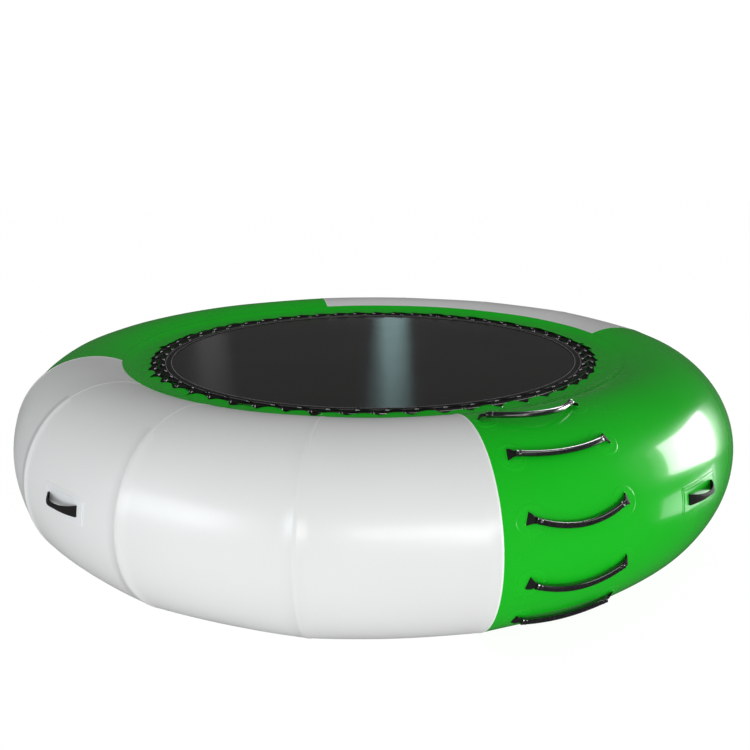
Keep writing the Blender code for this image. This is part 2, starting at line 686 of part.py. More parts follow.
def make_valve(panels):
    frame = skin_frame(panel_centre(VALVE_PANEL), VALVE_SECTION, FIT_GAP)
    barrel = VALVE_BARREL_DIAMETER / 2
    bore = VALVE_BORE_DIAMETER / 2
    hole_radius = barrel + RUN_CLEARANCE
    depth = VALVE_BARREL_DEPTH
    hole = [(hole_radius, -depth), (hole_radius, depth)]
    cut(panels[VALVE_PANEL], as_helper(stepped_shaft("valve_hole", hole, VALVE_SIDES, frame=frame)), "DIFFERENCE")

    stem = PLUNGER_STEM_DIAMETER / 2
    flange = VALVE_FLANGE_DIAMETER / 2
    collar = VALVE_COLLAR_DIAMETER / 2
    web_top = -VALVE_WEB_DEPTH
    web_bottom = web_top - VALVE_WEB_THICKNESS
    profile = [
        (flange, 0.0),
        (flange, VALVE_FLANGE_THICKNESS),
        (collar, VALVE_FLANGE_THICKNESS),
        (collar, VALVE_COLLAR_RISE),
        (bore, VALVE_COLLAR_RISE),
        (bore, web_top),
        (stem + RUN_CLEARANCE, web_top),
        (stem + RUN_CLEARANCE, web_bottom),
        (bore, web_bottom),
        (bore, -depth),
        (barrel, -depth),
        (barrel, 0.0),
    ]
    body = turned_ring("valve_body", profile, VALVE_SIDES, ("valve_grey", VALVE_GREY), frame)
    port_circle = (bore + stem) / 2
    port = VALVE_PORT_DIAMETER / 2
    for i in range(VALVE_PORT_COUNT):
        turn = Matrix.Rotation(2 * math.pi * i / VALVE_PORT_COUNT, 4, "Z")
        place = turn @ Matrix.Translation((port_circle, 0, (web_top + web_bottom) / 2))
        drill = [(port, -VALVE_WEB_THICKNESS), (port, VALVE_WEB_THICKNESS)]
        helper = stepped_shaft(f"port_{i}", drill, VALVE_PORT_SIDES, frame=frame @ place)
        cut(body, as_helper(helper), "DIFFERENCE")

    disc = barrel - PLUNGER_DISC_MARGIN
    disc_top = -depth - FIT_GAP
    button = PLUNGER_BUTTON_DIAMETER / 2
    button_bottom = PLUNGER_BUTTON_RISE
    plunger = [
        (disc, disc_top - PLUNGER_DISC_THICKNESS),
        (disc, disc_top),
        (stem, disc_top),
        (stem, button_bottom),
        (button, button_bottom),
        (button, button_bottom + PLUNGER_BUTTON_HEIGHT),
    ]
    stepped_shaft("valve_plunger", plunger, VALVE_SIDES, ("valve_grey", VALVE_GREY), frame)

    wire = SPRING_WIRE / 2
    low = web_top + FIT_GAP + wire
    high = button_bottom - FIT_GAP - wire
    steps = SPRING_TURNS * SPRING_POINTS_PER_TURN
    coil = SPRING_COIL_DIAMETER / 2
    route = []
    for i in range(steps + 1):
        angle = 2 * math.pi * i / SPRING_POINTS_PER_TURN
        height = low + (high - low) * i / steps
        route.append(Vector((coil * math.cos(angle), coil * math.sin(angle), height)))
    print(f"valve spring: least gap between curls {(high - low) / SPRING_TURNS - SPRING_WIRE:.4f} m")
    add_cord("valve_spring", route, SPRING_WIRE, 0, ("ring_steel", STEEL), frame)

    inside = collar + RUN_CLEARANCE
    outside = inside + CAP_WALL
    cap_foot = VALVE_FLANGE_THICKNESS + RUN_CLEARANCE
    ceiling = VALVE_COLLAR_RISE + CAP_HEADROOM
    cup = [(inside, -cap_foot), (inside, ceiling)]
    rings = []
    for height in (cap_foot, ceiling + CAP_ROOF):
        ring = []
        for i, point in enumerate(circle(outside, 2 * CAP_RIBS, height)):
            shrink = 1.0 if i % 2 else (outside - CAP_RIB_DEPTH) / outside
            ring.append(Vector((point.x * shrink, point.y * shrink, height)))
        rings.append(ring)
    cap = loft("valve_cap", rings, ("valve_grey", VALVE_GREY), frame=frame)
    cut(cap, as_helper(stepped_shaft("cap_hollow", cup, VALVE_SIDES, frame=frame)), "DIFFERENCE")


def main():
    clear_scene()
    cutters = {
        "skin": make_tube_solid("skin_cutter", FIT_GAP),
        "patch_top": make_tube_solid("patch_cutter", FIT_GAP + PATCH_THICKNESS),
        "second_layer": make_tube_solid("second_layer_cutter", FIT_GAP + 2 * PATCH_THICKNESS),
    }
    panels = [make_panel(index) for index in range(PANEL_COUNT)]
    sizes = bed_sizes()
    make_anchor_band(sizes)
    make_mat(sizes)
    make_lacing(sizes)
    make_flap(sizes)
    for number, section in enumerate(RUNG_SECTIONS, start=1):
        make_rung(number, section, cutters)
    for number in range(HANDLE_COUNT):
        make_handle(number, cutters)
        make_mooring(number, cutters)
    make_valve(panels)


main()
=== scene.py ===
# Water trampoline: the looks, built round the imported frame. Metres, +Z up, camera side at -Y.
# Azimuth is in degrees, 0 at -Y and growing towards +X.
# Section is in degrees round the tube, 0 outside, 90 on top.

import json
import math
import random

import bpy
from mathutils import Matrix, Vector, noise

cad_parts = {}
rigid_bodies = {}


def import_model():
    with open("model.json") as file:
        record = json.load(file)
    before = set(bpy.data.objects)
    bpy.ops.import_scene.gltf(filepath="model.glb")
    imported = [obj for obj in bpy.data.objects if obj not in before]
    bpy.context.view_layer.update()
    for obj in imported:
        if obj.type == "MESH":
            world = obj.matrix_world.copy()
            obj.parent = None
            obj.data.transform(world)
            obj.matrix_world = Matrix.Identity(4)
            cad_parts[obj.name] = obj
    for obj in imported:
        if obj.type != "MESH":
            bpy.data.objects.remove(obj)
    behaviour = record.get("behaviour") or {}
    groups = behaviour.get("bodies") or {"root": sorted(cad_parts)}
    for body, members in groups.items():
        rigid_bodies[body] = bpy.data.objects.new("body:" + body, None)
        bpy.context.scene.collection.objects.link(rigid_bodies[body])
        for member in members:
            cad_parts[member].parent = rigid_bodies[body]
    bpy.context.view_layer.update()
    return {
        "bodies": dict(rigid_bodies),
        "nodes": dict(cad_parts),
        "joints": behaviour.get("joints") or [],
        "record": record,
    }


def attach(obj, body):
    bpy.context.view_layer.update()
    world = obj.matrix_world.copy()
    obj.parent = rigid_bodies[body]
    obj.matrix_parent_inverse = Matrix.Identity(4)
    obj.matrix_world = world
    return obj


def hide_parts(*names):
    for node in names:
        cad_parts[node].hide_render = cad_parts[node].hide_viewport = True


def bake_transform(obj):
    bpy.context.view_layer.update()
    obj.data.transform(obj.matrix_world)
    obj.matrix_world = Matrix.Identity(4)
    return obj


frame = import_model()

random.seed(41)
joints = {joint["name"]: joint for joint in frame["joints"]}

tubeShape = {"outerRadius": 2.0, "halfWidth": 0.421, "halfHeight": 0.459, "panels": 16, "firstSeam": 14.0,
             "stepsPerPanel": 36, "sectionSteps": 120, "seamRise": 0.013, "easeShare": 0.27, "lineTurn": 0.20,
             "tapeTurn": 0.34, "rippleSize": 0.45, "rippleDepth": 0.003, "weldEdge": 0.002,
             "weldRise": 0.0012, "skin": 0.0009}
ringRadius = tubeShape["outerRadius"] - tubeShape["halfWidth"]
tubeMiddle = tubeShape["halfHeight"]


# Selecting, applying and placing

def dropSelection():
    if bpy.context.mode != "OBJECT":
        bpy.ops.object.mode_set(mode="OBJECT")
    bpy.ops.object.select_all(action="DESELECT")


def makeActive(obj):
    dropSelection()
    obj.select_set(True)
    bpy.context.view_layer.objects.active = obj
    return obj


def newest(name):
    obj = bpy.context.view_layer.objects.active
    obj.name = name
    obj.data.name = name
    return makeActive(obj)


def applyPlace(obj):
    makeActive(obj)
    bpy.ops.object.transform_apply(location=True, rotation=True, scale=True)
    return obj


def applyModifiers(obj):
    makeActive(obj)
    for modifier in list(obj.modifiers):
        bpy.ops.object.modifier_apply(modifier=modifier.name)
    return obj


def pickFaces(obj, test):
    # leaves obj in edit mode with the faces selected that pass the test
    makeActive(obj)
    mesh = obj.data
    mesh.vertices.foreach_set("select", [False] * len(mesh.vertices))
    mesh.edges.foreach_set("select", [False] * len(mesh.edges))
    mesh.polygons.foreach_set("select", [bool(test(face)) for face in mesh.polygons])
    bpy.ops.object.mode_set(mode="EDIT")
    bpy.ops.mesh.select_mode(type="FACE")


def movePoints(obj, rule):
    for point in obj.data.vertices:
        point.co = rule(point.co.copy())
    obj.data.update()
    return obj


def editAll(obj):
    # edit mode, with everything selected
    makeActive(obj)
    bpy.ops.object.mode_set(mode="EDIT")
    bpy.ops.mesh.select_all(action="SELECT")


def facesOut(obj):
    editAll(obj)
    bpy.ops.mesh.remove_doubles(threshold=0.00002)
    bpy.ops.mesh.normals_make_consistent(inside=False)
    bpy.ops.object.mode_set(mode="OBJECT")
    return obj


def smooth(obj, angle=35.0):
    makeActive(obj)
    bpy.ops.object.shade_smooth_by_angle(angle=math.radians(angle))
    return obj


def copyOf(obj, name, turn=None):
    twin = obj.copy()
    twin.data = obj.data.copy()
    twin.name = name
    twin.data.name = name
    bpy.context.scene.collection.objects.link(twin)
    if turn is not None:
        twin.data.transform(turn)
    return twin


def joinAll(pieces, name):
    dropSelection()
    for piece in pieces:
        piece.select_set(True)
    bpy.context.view_layer.objects.active = pieces[0]
    bpy.ops.object.join()
    return newest(name)


def scrap(obj):
    bpy.data.objects.remove(obj, do_unlink=True)


def dress(obj, *materials):
    obj.data.materials.clear()
    for material in materials:
        obj.data.materials.append(material)
    return obj


def addModifier(obj, name, kind, **settings):
    modifier = obj.modifiers.new(name, kind)
    for key, value in settings.items():
        setattr(modifier, key, value)
    return modifier


def solidify(obj, thickness, offset=-1.0):
    addModifier(obj, "thickness", "SOLIDIFY", thickness=thickness, offset=offset, use_even_offset=True)
    return applyModifiers(obj)


def roundEdges(obj, width, segments=2, angle=40.0):
    addModifier(obj, "edges", "BEVEL", width=width, segments=segments, limit_method="ANGLE",
                angle_limit=math.radians(angle), harden_normals=False)
    return applyModifiers(obj)


# Places on the ring

def around(azimuth, radius, height):
    angle = math.radians(azimuth)
    return Vector((radius * math.sin(angle), -radius * math.cos(angle), height))


def azimuthOf(point):
    return math.degrees(math.atan2(point.x, -point.y))


def wrapped(degrees):
    return (degrees + 180.0) % 360.0 - 180.0


def tubeFrame(azimuth, section, lift=0.0):
    # x along the ring, y round the section, z out of the skin
    turn, roll = math.radians(azimuth), math.radians(section)
    width, height = tubeShape["halfWidth"], tubeShape["halfHeight"]
    along = Vector((math.cos(turn), math.sin(turn), 0.0))
    outward = around(azimuth, 1.0, 0.0)
    out = (outward * (math.cos(roll) / width) + Vector((0, 0, math.sin(roll) / height))).normalized()
    up = out.cross(along)
    matrix = Matrix((along, up, out)).transposed().to_4x4()
    place = around(azimuth, ringRadius + width * math.cos(roll), tubeMiddle + height * math.sin(roll))
    matrix.translation = place + out * lift
    return matrix


def sectionOf(point):
    across = (math.hypot(point.x, point.y) - ringRadius) / tubeShape["halfWidth"]
    rise = (point.z - tubeMiddle) / tubeShape["halfHeight"]
    return math.degrees(math.atan2(rise, across))


def hingeFrame(jointName):
    # a swinging piece's frame: origin in the middle of its hinge, x along it, z out of the skin
    joint = joints[jointName]
    middle = Vector(joint["pos_m"])
    along = -Vector(joint["axis"])
    out = tubeFrame(azimuthOf(middle), sectionOf(middle)).col[2].to_3d()
    up = out.cross(along).normalized()
    matrix = Matrix((along, up, along.cross(up))).transposed().to_4x4()
    matrix.translation = middle
    return matrix


# Materials

def newFinish(name, colour, roughness):
    material = bpy.data.materials.new(name)
    material.use_nodes = True
    tree = material.node_tree
    shader = tree.nodes["Principled BSDF"]
    shader.inputs["Base Color"].default_value = (*colour, 1.0)
    shader.inputs["Roughness"].default_value = roughness
    return material, tree, shader


def addNode(tree, kind, **settings):
    node = tree.nodes.new(kind)
    for key, value in settings.items():
        setattr(node, key, value)
    return node


def objectPoint(tree, scale=(1.0, 1.0, 1.0)):
    coords = addNode(tree, "ShaderNodeTexCoord")
    mapping = addNode(tree, "ShaderNodeMapping")
    mapping.inputs["Scale"].default_value = scale
    tree.links.new(coords.outputs["Object"], mapping.inputs["Vector"])
    return mapping.outputs["Vector"]


def noiseField(tree, vector, scale, detail=3.0, roughness=0.5):
    noise = addNode(tree, "ShaderNodeTexNoise")
    noise.inputs["Scale"].default_value = scale
    noise.inputs["Detail"].default_value = detail
    noise.inputs["Roughness"].default_value = roughness
    tree.links.new(vector, noise.inputs["Vector"])
    return noise.outputs["Fac"]


def spread(tree, value, low, high, fromLow=0.3, fromHigh=0.7):
    ramp = addNode(tree, "ShaderNodeMapRange")
    ramp.inputs["From Min"].default_value = fromLow
    ramp.inputs["From Max"].default_value = fromHigh
    ramp.inputs["To Min"].default_value = low
    ramp.inputs["To Max"].default_value = high
    tree.links.new(value, ramp.inputs["Value"])
    return ramp.outputs["Result"]


def mixColour(tree, factor, first, second):
    mix = addNode(tree, "ShaderNodeMix", data_type="RGBA")
    mix.inputs["A"].default_value = (*first, 1.0)
    mix.inputs["B"].default_value = (*second, 1.0)
    tree.links.new(factor, mix.inputs["Factor"])
    return mix.outputs["Result"]


def addBump(tree, shader, height, strength, distance, under=None):
    bump = addNode(tree, "ShaderNodeBump")
    bump.inputs["Strength"].default_value = strength
    bump.inputs["Distance"].default_value = distance
    tree.links.new(height, bump.inputs["Height"])
    if under is not None:
        tree.links.new(under, bump.inputs["Normal"])
    tree.links.new(bump.outputs["Normal"], shader.inputs["Normal"])
    return bump.outputs["Normal"]


def mottled(tree, shader, look, point, scale, detail):
    # two near colours in a noise; the noise is used again by the bump
    blotches = noiseField(tree, point, scale, detail)
    colour = mixColour(tree, spread(tree, blotches, 0.0, 1.0), look["colour"], look["otherColour"])
    tree.links.new(colour, shader.inputs["Base Color"])
    return blotches


def pvcFinish(name, look):
    material, tree, shader = newFinish(name, look["colour"], look["roughness"])
    point = objectPoint(tree)
    broad = mottled(tree, shader, look, point, look["unevenScale"], 2.0)
    grain = noiseField(tree, point, look["grainScale"], 2.0, 0.6)
    smears = noiseField(tree, point, look["smearScale"])
    tree.links.new(spread(tree, smears, *look["roughnessRange"]), shader.inputs["Roughness"])
    soft = addBump(tree, shader, broad, look["unevenBump"], 0.02)
    addBump(tree, shader, grain, look["grainBump"], 0.0004, soft)
    shader.inputs["Specular IOR Level"].default_value = look["specular"]
    shader.inputs["Coat Weight"].default_value = look["coat"]
    shader.inputs["Coat Roughness"].default_value = look["coatRoughness"]
    return material


def webbingFinish(name, look):
    # ribs run both ways, as on woven strap
    material, tree, shader = newFinish(name, look["colour"], look["roughness"])
    point = objectPoint(tree)
    fuzz = mottled(tree, shader, look, point, look["fuzzScale"], 4.0)
    checks = addNode(tree, "ShaderNodeTexChecker")
    checks.inputs["Scale"].default_value = look["threadScale"]
    tree.links.new(point, checks.inputs["Vector"])
    soft = addBump(tree, shader, checks.outputs["Fac"], look["threadBump"], 0.0004)
    addBump(tree, shader, fuzz, 0.3, 0.0006, soft)
    shader.inputs["Sheen Weight"].default_value = look["sheen"]
    shader.inputs["Sheen Roughness"].default_value = 0.5
    shader.inputs["Specular IOR Level"].default_value = 0.25
    return material


def meshFinish(name, look):
    # the mat: a tight weave, with a low sheen that follows the strands
    material, tree, shader = newFinish(name, look["colour"], look["roughness"])
    point = objectPoint(tree)
    strands = []
    for direction in ("X", "Y"):
        wave = addNode(tree, "ShaderNodeTexWave", wave_type="BANDS", bands_direction=direction)
        wave.inputs["Scale"].default_value = look["strandScale"]
        wave.inputs["Distortion"].default_value = 0.0
        tree.links.new(point, wave.inputs["Vector"])
        strands.append(wave.outputs["Fac"])
    weave = addNode(tree, "ShaderNodeMath", operation="MULTIPLY")
    tree.links.new(strands[0], weave.inputs[0])
    tree.links.new(strands[1], weave.inputs[1])
    streaks = mottled(tree, shader, look, objectPoint(tree, look["streakScale"]), 1.0, 3.0)
    tree.links.new(spread(tree, streaks, *look["roughnessRange"]), shader.inputs["Roughness"])
    addBump(tree, shader, weave.outputs["Value"], look["weaveBump"], 0.0005)
    shader.inputs["Specular IOR Level"].default_value = look["specular"]
    return material


def plainFinish(name, look):
    # moulded and drawn parts: hose, cord, steel, valve
    material, tree, shader = newFinish(name, look["colour"], look["roughness"])
    marks = mottled(tree, shader, look, objectPoint(tree), look["markScale"], 4.0)
    tree.links.new(spread(tree, marks, *look["roughnessRange"]), shader.inputs["Roughness"])
    addBump(tree, shader, marks, look["bump"], 0.0005)
    shader.inputs["Metallic"].default_value = look["metallic"]
    shader.inputs["Coat Weight"].default_value = look["coat"]
    shader.inputs["Coat Roughness"].default_value = 0.12
    shader.inputs["Coat IOR"].default_value = look.get("coatIor", 1.5)
    return material


greenLook = {"colour": (0.009, 0.540, 0.017), "otherColour": (0.008, 0.510, 0.014), "roughness": 0.24,
             "roughnessRange": (0.20, 0.28), "unevenScale": 1.3, "unevenBump": 0.12, "grainScale": 900.0,
             "grainBump": 0.06, "smearScale": 3.0, "specular": 0.15, "coat": 0.32, "coatRoughness": 0.08}
whiteLook = {"colour": (0.81, 0.82, 0.815), "otherColour": (0.78, 0.79, 0.785), "roughness": 0.32,
             "roughnessRange": (0.28, 0.38), "unevenScale": 1.1, "unevenBump": 0.16, "grainScale": 900.0,
             "grainBump": 0.06, "smearScale": 3.0, "specular": 0.40, "coat": 0.20, "coatRoughness": 0.16}
greenWeldLook = {**greenLook, "colour": (0.010, 0.545, 0.018), "otherColour": (0.009, 0.515, 0.015)}
# the white weld tape and its edges are real, but they are coloured paler than the white skin: partly a
# painted highlight along the white seams
whiteWeldHighlightLook = {**whiteLook, "colour": (0.97, 0.96, 0.94), "otherColour": (0.95, 0.94, 0.92)}
# the seam line between white and green, tinted mint and paler than the white skin: a painted highlight
whiteSeamHighlightLook = {**whiteLook, "colour": (0.93, 0.97, 0.94), "otherColour": (0.91, 0.95, 0.92)}
greenEdgeLook = {**greenLook, "colour": (0.012, 0.54, 0.018), "otherColour": (0.010, 0.51, 0.015)}
whiteWeldEdgeHighlightLook = {**whiteLook, "colour": (0.93, 0.92, 0.91), "otherColour": (0.90, 0.89, 0.88)}
# the flap's cut rim is coloured a paler green than the flap: a painted highlight along its edge
flapRimHighlightLook = {**greenLook, "colour": (0.26, 0.66, 0.27), "otherColour": (0.16, 0.58, 0.17), "coat": 0.2}
flapLineLook = {**greenLook, "colour": (0.070, 0.34, 0.060), "otherColour": (0.045, 0.38, 0.040), "coat": 0.2}
greenPatchLook = {**greenLook, "colour": (0.010, 0.55, 0.018), "otherColour": (0.009, 0.52, 0.015)}
whitePatchLook = {**whiteLook, "colour": (0.82, 0.84, 0.85), "otherColour": (0.79, 0.81, 0.82)}
blackPatchLook = {**greenLook, "colour": (0.012, 0.012, 0.013), "otherColour": (0.016, 0.016, 0.017)}
matLook = {"colour": (0.030, 0.030, 0.028), "otherColour": (0.034, 0.034, 0.032), "roughness": 0.12,
           "roughnessRange": (0.10, 0.13), "strandScale": 210.0, "streakScale": (1.6, 1.6, 1.0),
           "weaveBump": 0.06, "specular": 0.10}
webbingLook = {"colour": (0.0070, 0.0060, 0.0065), "otherColour": (0.012, 0.010, 0.011), "roughness": 0.66,
               "threadScale": 520.0, "threadBump": 0.5, "fuzzScale": 160.0, "sheen": 0.04}
hoseLook = {"colour": (0.006, 0.006, 0.007), "otherColour": (0.010, 0.009, 0.011), "roughness": 0.24,
            "roughnessRange": (0.18, 0.28), "markScale": 9.0, "bump": 0.03, "metallic": 0.0, "coat": 1.0,
            "coatIor": 1.7}
laceLook = {"colour": (0.006, 0.006, 0.006), "otherColour": (0.010, 0.010, 0.010), "roughness": 0.65,
            "roughnessRange": (0.55, 0.75), "markScale": 900.0, "bump": 0.4, "metallic": 0.0, "coat": 0.0}
steelLook = {"colour": (0.80, 0.81, 0.82), "otherColour": (0.72, 0.73, 0.74), "roughness": 0.20,
             "roughnessRange": (0.14, 0.26), "markScale": 90.0, "bump": 0.05, "metallic": 1.0, "coat": 0.0}
# near-white and barely metallic, so that each ring shows as a bright dot: a painted highlight for the rings'
# glints
nickelPaintedGlintLook = {**steelLook, "colour": (0.93, 0.93, 0.92), "otherColour": (0.86, 0.87, 0.87), "metallic": 0.1,
              "roughnessRange": (0.28, 0.40)}
valveLook = {"colour": (0.030, 0.030, 0.033), "otherColour": (0.038, 0.038, 0.042), "roughness": 0.42,
             "roughnessRange": (0.36, 0.50), "markScale": 200.0, "bump": 0.15, "metallic": 0.0, "coat": 0.0}
threadLook = {"colour": (0.50, 0.49, 0.48), "otherColour": (0.36, 0.35, 0.34), "roughness": 0.6,
              "roughnessRange": (0.5, 0.7), "markScale": 700.0, "bump": 0.3, "metallic": 0.0, "coat": 0.0}

greenPvc = pvcFinish("green pvc", greenLook)
whitePvc = pvcFinish("white pvc", whiteLook)
greenWeld = pvcFinish("green weld tape", greenWeldLook)
whiteWeldHighlight = pvcFinish("white weld tape", whiteWeldHighlightLook)
whiteSeamHighlight = pvcFinish("white seam line", whiteSeamHighlightLook)
greenEdge = pvcFinish("green weld edge", greenEdgeLook)
whiteWeldEdgeHighlight = pvcFinish("white weld edge", whiteWeldEdgeHighlightLook)
flapRimHighlight = pvcFinish("flap edge", flapRimHighlightLook)
flapLine = pvcFinish("flap weld line", flapLineLook)
greenPatch = pvcFinish("green patch", greenPatchLook)
whitePatch = pvcFinish("white patch", whitePatchLook)
blackPatch = pvcFinish("black patch", blackPatchLook)
matWeave = meshFinish("mat weave", matLook)
blackWebbing = webbingFinish("black webbing", webbingLook)
blackHose = plainFinish("black hose", hoseLook)
elastic = plainFinish("elastic cord", laceLook)
steel = plainFinish("polished steel", steelLook)
nickelPaintedGlint = plainFinish("nickel wire", nickelPaintedGlintLook)
valvePlastic = plainFinish("valve plastic", valveLook)
paleThread = plainFinish("pale thread", threadLook)


# Camera and light

cameraSet = {"place": (0.0, -4.76705, 1.93528), "yaw": 0.115, "pitch": 14.436, "roll": -0.182,
             "lens": 39.597}


def makeCamera():
    data = bpy.data.cameras.new("camera")
    data.lens = cameraSet["lens"]
    data.sensor_width = 36.0
    data.clip_end = 200.0
    camera = bpy.data.objects.new("camera", data)
    bpy.context.scene.collection.objects.link(camera)
    turn = Matrix.Rotation(-math.radians(cameraSet["yaw"]), 4, "Z")
    tilt = Matrix.Rotation(math.radians(90.0 - cameraSet["pitch"]), 4, "X")
    roll = Matrix.Rotation(math.radians(cameraSet["roll"]), 4, "Z")
    camera.matrix_world = Matrix.Translation(cameraSet["place"]) @ turn @ tilt @ roll
    bpy.context.scene.camera = camera


# each lamp: what it is aimed at, the azimuth and rise it stands at, its distance, width and height, power,
# and what it does: "shine" only mirrors, "body" only lights, "mat" and "hoses" mirror in those pieces alone
lampSet = {
    "side window": {"aim": (1.37, -1.35, 0.72), "azimuth": 111.5, "rise": 10.0, "distance": 5.0,
                    "roll": -25.0, "size": (2.8, 2.1), "power": 310.0, "tint": (1.0, 1.0, 0.99),
                    "lights": "shine"},
    "side glow": {"aim": (1.37, -1.35, 0.72), "azimuth": 100.0, "rise": 12.0, "distance": 6.0,
                  "size": (3.0, 3.0), "power": 60.0, "lights": "body"},
    "yard": {"aim": (1.38, -1.44, 0.52), "azimuth": 104.0, "rise": -13.0, "distance": 1.3,
             "size": (0.95, 0.42), "power": 4.5, "tint": (0.95, 1.0, 1.0), "lights": "shine"},
    "front window": {"aim": (0.21, -1.95, 0.66), "azimuth": 11.0, "rise": 11.5, "distance": 7.0,
                     "size": (4.2, 1.4), "power": 120.0, "lights": "shine"},
    "front corner": {"aim": (0.42, -1.94, 0.60), "azimuth": 24.0, "rise": 5.0, "distance": 7.0,
                     "size": (1.2, 1.5), "power": 36.0, "lights": "shine"},
    "left window": {"aim": (-0.75, -1.82, 0.65), "azimuth": -57.0, "rise": 12.0, "distance": 6.0,
                    "size": (3.1, 1.7), "power": 80.0, "tint": (0.92, 0.96, 1.0), "lights": "shine"},
    "front glow": {"aim": (0.30, -1.90, 0.50), "azimuth": 22.0, "rise": 6.0, "distance": 9.0,
                   "size": (5.0, 3.0), "power": 285.0, "tint": (1.0, 1.0, 0.99), "lights": "body"},
    "left glow": {"aim": (-0.75, -1.82, 0.50), "azimuth": -52.0, "rise": 6.0, "distance": 9.0,
                  "size": (5.0, 3.0), "power": 215.0, "tint": (0.93, 0.97, 1.0), "lights": "body"},
    "far strip": {"aim": (0.10, 0.0, 0.85), "azimuth": 178.6, "rise": 14.0, "distance": 8.0,
                  "size": (0.42, 2.2), "power": 2.7, "tint": (0.62, 0.98, 1.0), "lights": "mat"},
    "far left strip": {"aim": (-0.80, 0.0, 0.85), "azimuth": -167.5, "rise": 14.0, "distance": 8.0,
                       "size": (0.45, 2.2), "power": 0.45, "tint": (1.0, 0.98, 0.98), "lights": "mat"},
    "hose sheen": {"aim": (0.80, -1.75, 0.70), "azimuth": 150.0, "rise": 38.0, "distance": 5.0,
                   "size": (2.6, 1.2), "power": 90.0, "tint": (0.97, 0.98, 1.0), "lights": "hoses"},
    "hose top sheen": {"aim": (0.85, -1.85, 0.45), "azimuth": 60.0, "rise": 62.0, "distance": 4.0,
                       "size": (3.0, 0.6), "power": 24.0, "tint": (0.97, 0.98, 1.0), "lights": "hoses"},
}
# the room as the lamps light it, as it mirrors in the skin, and as the camera sees it
skySet = {"ground": 0.60, "horizon": 0.84, "top": 0.31, "mirroredHorizon": 0.07, "mirroredTop": 0.06,
          "backdrop": 1.02}
floorSet = {"size": 80.0, "colour": (0.10, 0.10, 0.10), "glow": 0.95}


# the pieces that the lamps for one kind of piece shine on
litOnly = {kind: bpy.data.collections.new(f"lit {kind}") for kind in ("mat", "hoses")}


def makeLight():
    for name, lamp in lampSet.items():
        data = bpy.data.lights.new(name, "AREA")
        data.shape = "RECTANGLE"
        data.size, data.size_y = lamp["size"]
        data.energy = lamp["power"]
        data.color = lamp.get("tint", (1.0, 1.0, 1.0))
        obj = bpy.data.objects.new(name, data)
        bpy.context.scene.collection.objects.link(obj)
        rise = math.radians(lamp["rise"])
        away = around(lamp["azimuth"], math.cos(rise), math.sin(rise))
        obj.location = Vector(lamp["aim"]) + away * lamp["distance"]
        roll = Matrix.Rotation(math.radians(lamp.get("roll", 0.0)), 3, "Z")
        obj.rotation_euler = (away.to_track_quat("Z", "Y").to_matrix() @ roll).to_euler()
        obj.visible_camera = False
        obj.visible_diffuse = lamp["lights"] == "body"
        obj.visible_glossy = lamp["lights"] != "body"
        if lamp["lights"] in litOnly:
            obj.light_linking.receiver_collection = litOnly[lamp["lights"]]


def skyBlend(tree, low, high, climb):
    return mixColour(tree, climb, (low, low, low), (high, high, high))


def makeSky():
    world = bpy.data.worlds.new("studio")
    world.use_nodes = True
    bpy.context.scene.world = world
    tree = world.node_tree
    coords = addNode(tree, "ShaderNodeTexCoord")
    split = addNode(tree, "ShaderNodeSeparateXYZ")
    rays = addNode(tree, "ShaderNodeLightPath")
    tree.links.new(coords.outputs["Generated"], split.inputs["Vector"])
    climb = spread(tree, split.outputs["Z"], 0.0, 1.0, 0.10, 0.90)
    below = spread(tree, split.outputs["Z"], 0.0, 1.0, 0.0, -0.9)
    above = skyBlend(tree, skySet["horizon"], skySet["top"], climb)
    lit = addNode(tree, "ShaderNodeMix", data_type="RGBA")
    lit.inputs["B"].default_value = (skySet["ground"],) * 3 + (1.0,)
    tree.links.new(below, lit.inputs["Factor"])
    tree.links.new(above, lit.inputs["A"])
    mirrored = skyBlend(tree, skySet["mirroredHorizon"], skySet["mirroredTop"], climb)
    shown = addNode(tree, "ShaderNodeMix", data_type="RGBA")
    tree.links.new(rays.outputs["Is Glossy Ray"], shown.inputs["Factor"])
    tree.links.new(lit.outputs["Result"], shown.inputs["A"])
    tree.links.new(mirrored, shown.inputs["B"])
    behind = addNode(tree, "ShaderNodeMix", data_type="RGBA")
    behind.inputs["B"].default_value = (skySet["backdrop"],) * 3 + (1.0,)
    tree.links.new(rays.outputs["Is Camera Ray"], behind.inputs["Factor"])
    tree.links.new(shown.outputs["Result"], behind.inputs["A"])
    tree.links.new(behind.outputs["Result"], tree.nodes["Background"].inputs["Color"])


def makeFloor():
    bpy.ops.mesh.primitive_plane_add(size=floorSet["size"], location=(0, 0, -0.001))
    floor = newest("studio_floor")
    material, tree, shader = newFinish("floor", floorSet["colour"], 0.6)
    shader.inputs["Emission Color"].default_value = (1.0, 1.0, 1.0, 1.0)
    shader.inputs["Emission Strength"].default_value = floorSet["glow"]
    shader.inputs["Specular IOR Level"].default_value = 0.0
    dress(floor, material)
    floor.visible_glossy = False
    floor.visible_diffuse = False


dropSelection()
bpy.context.scene.view_settings.view_transform = "Standard"
makeCamera()
makeLight()
makeSky()
makeFloor()
print("camera, light and floor stand")


# Shapes used more than once

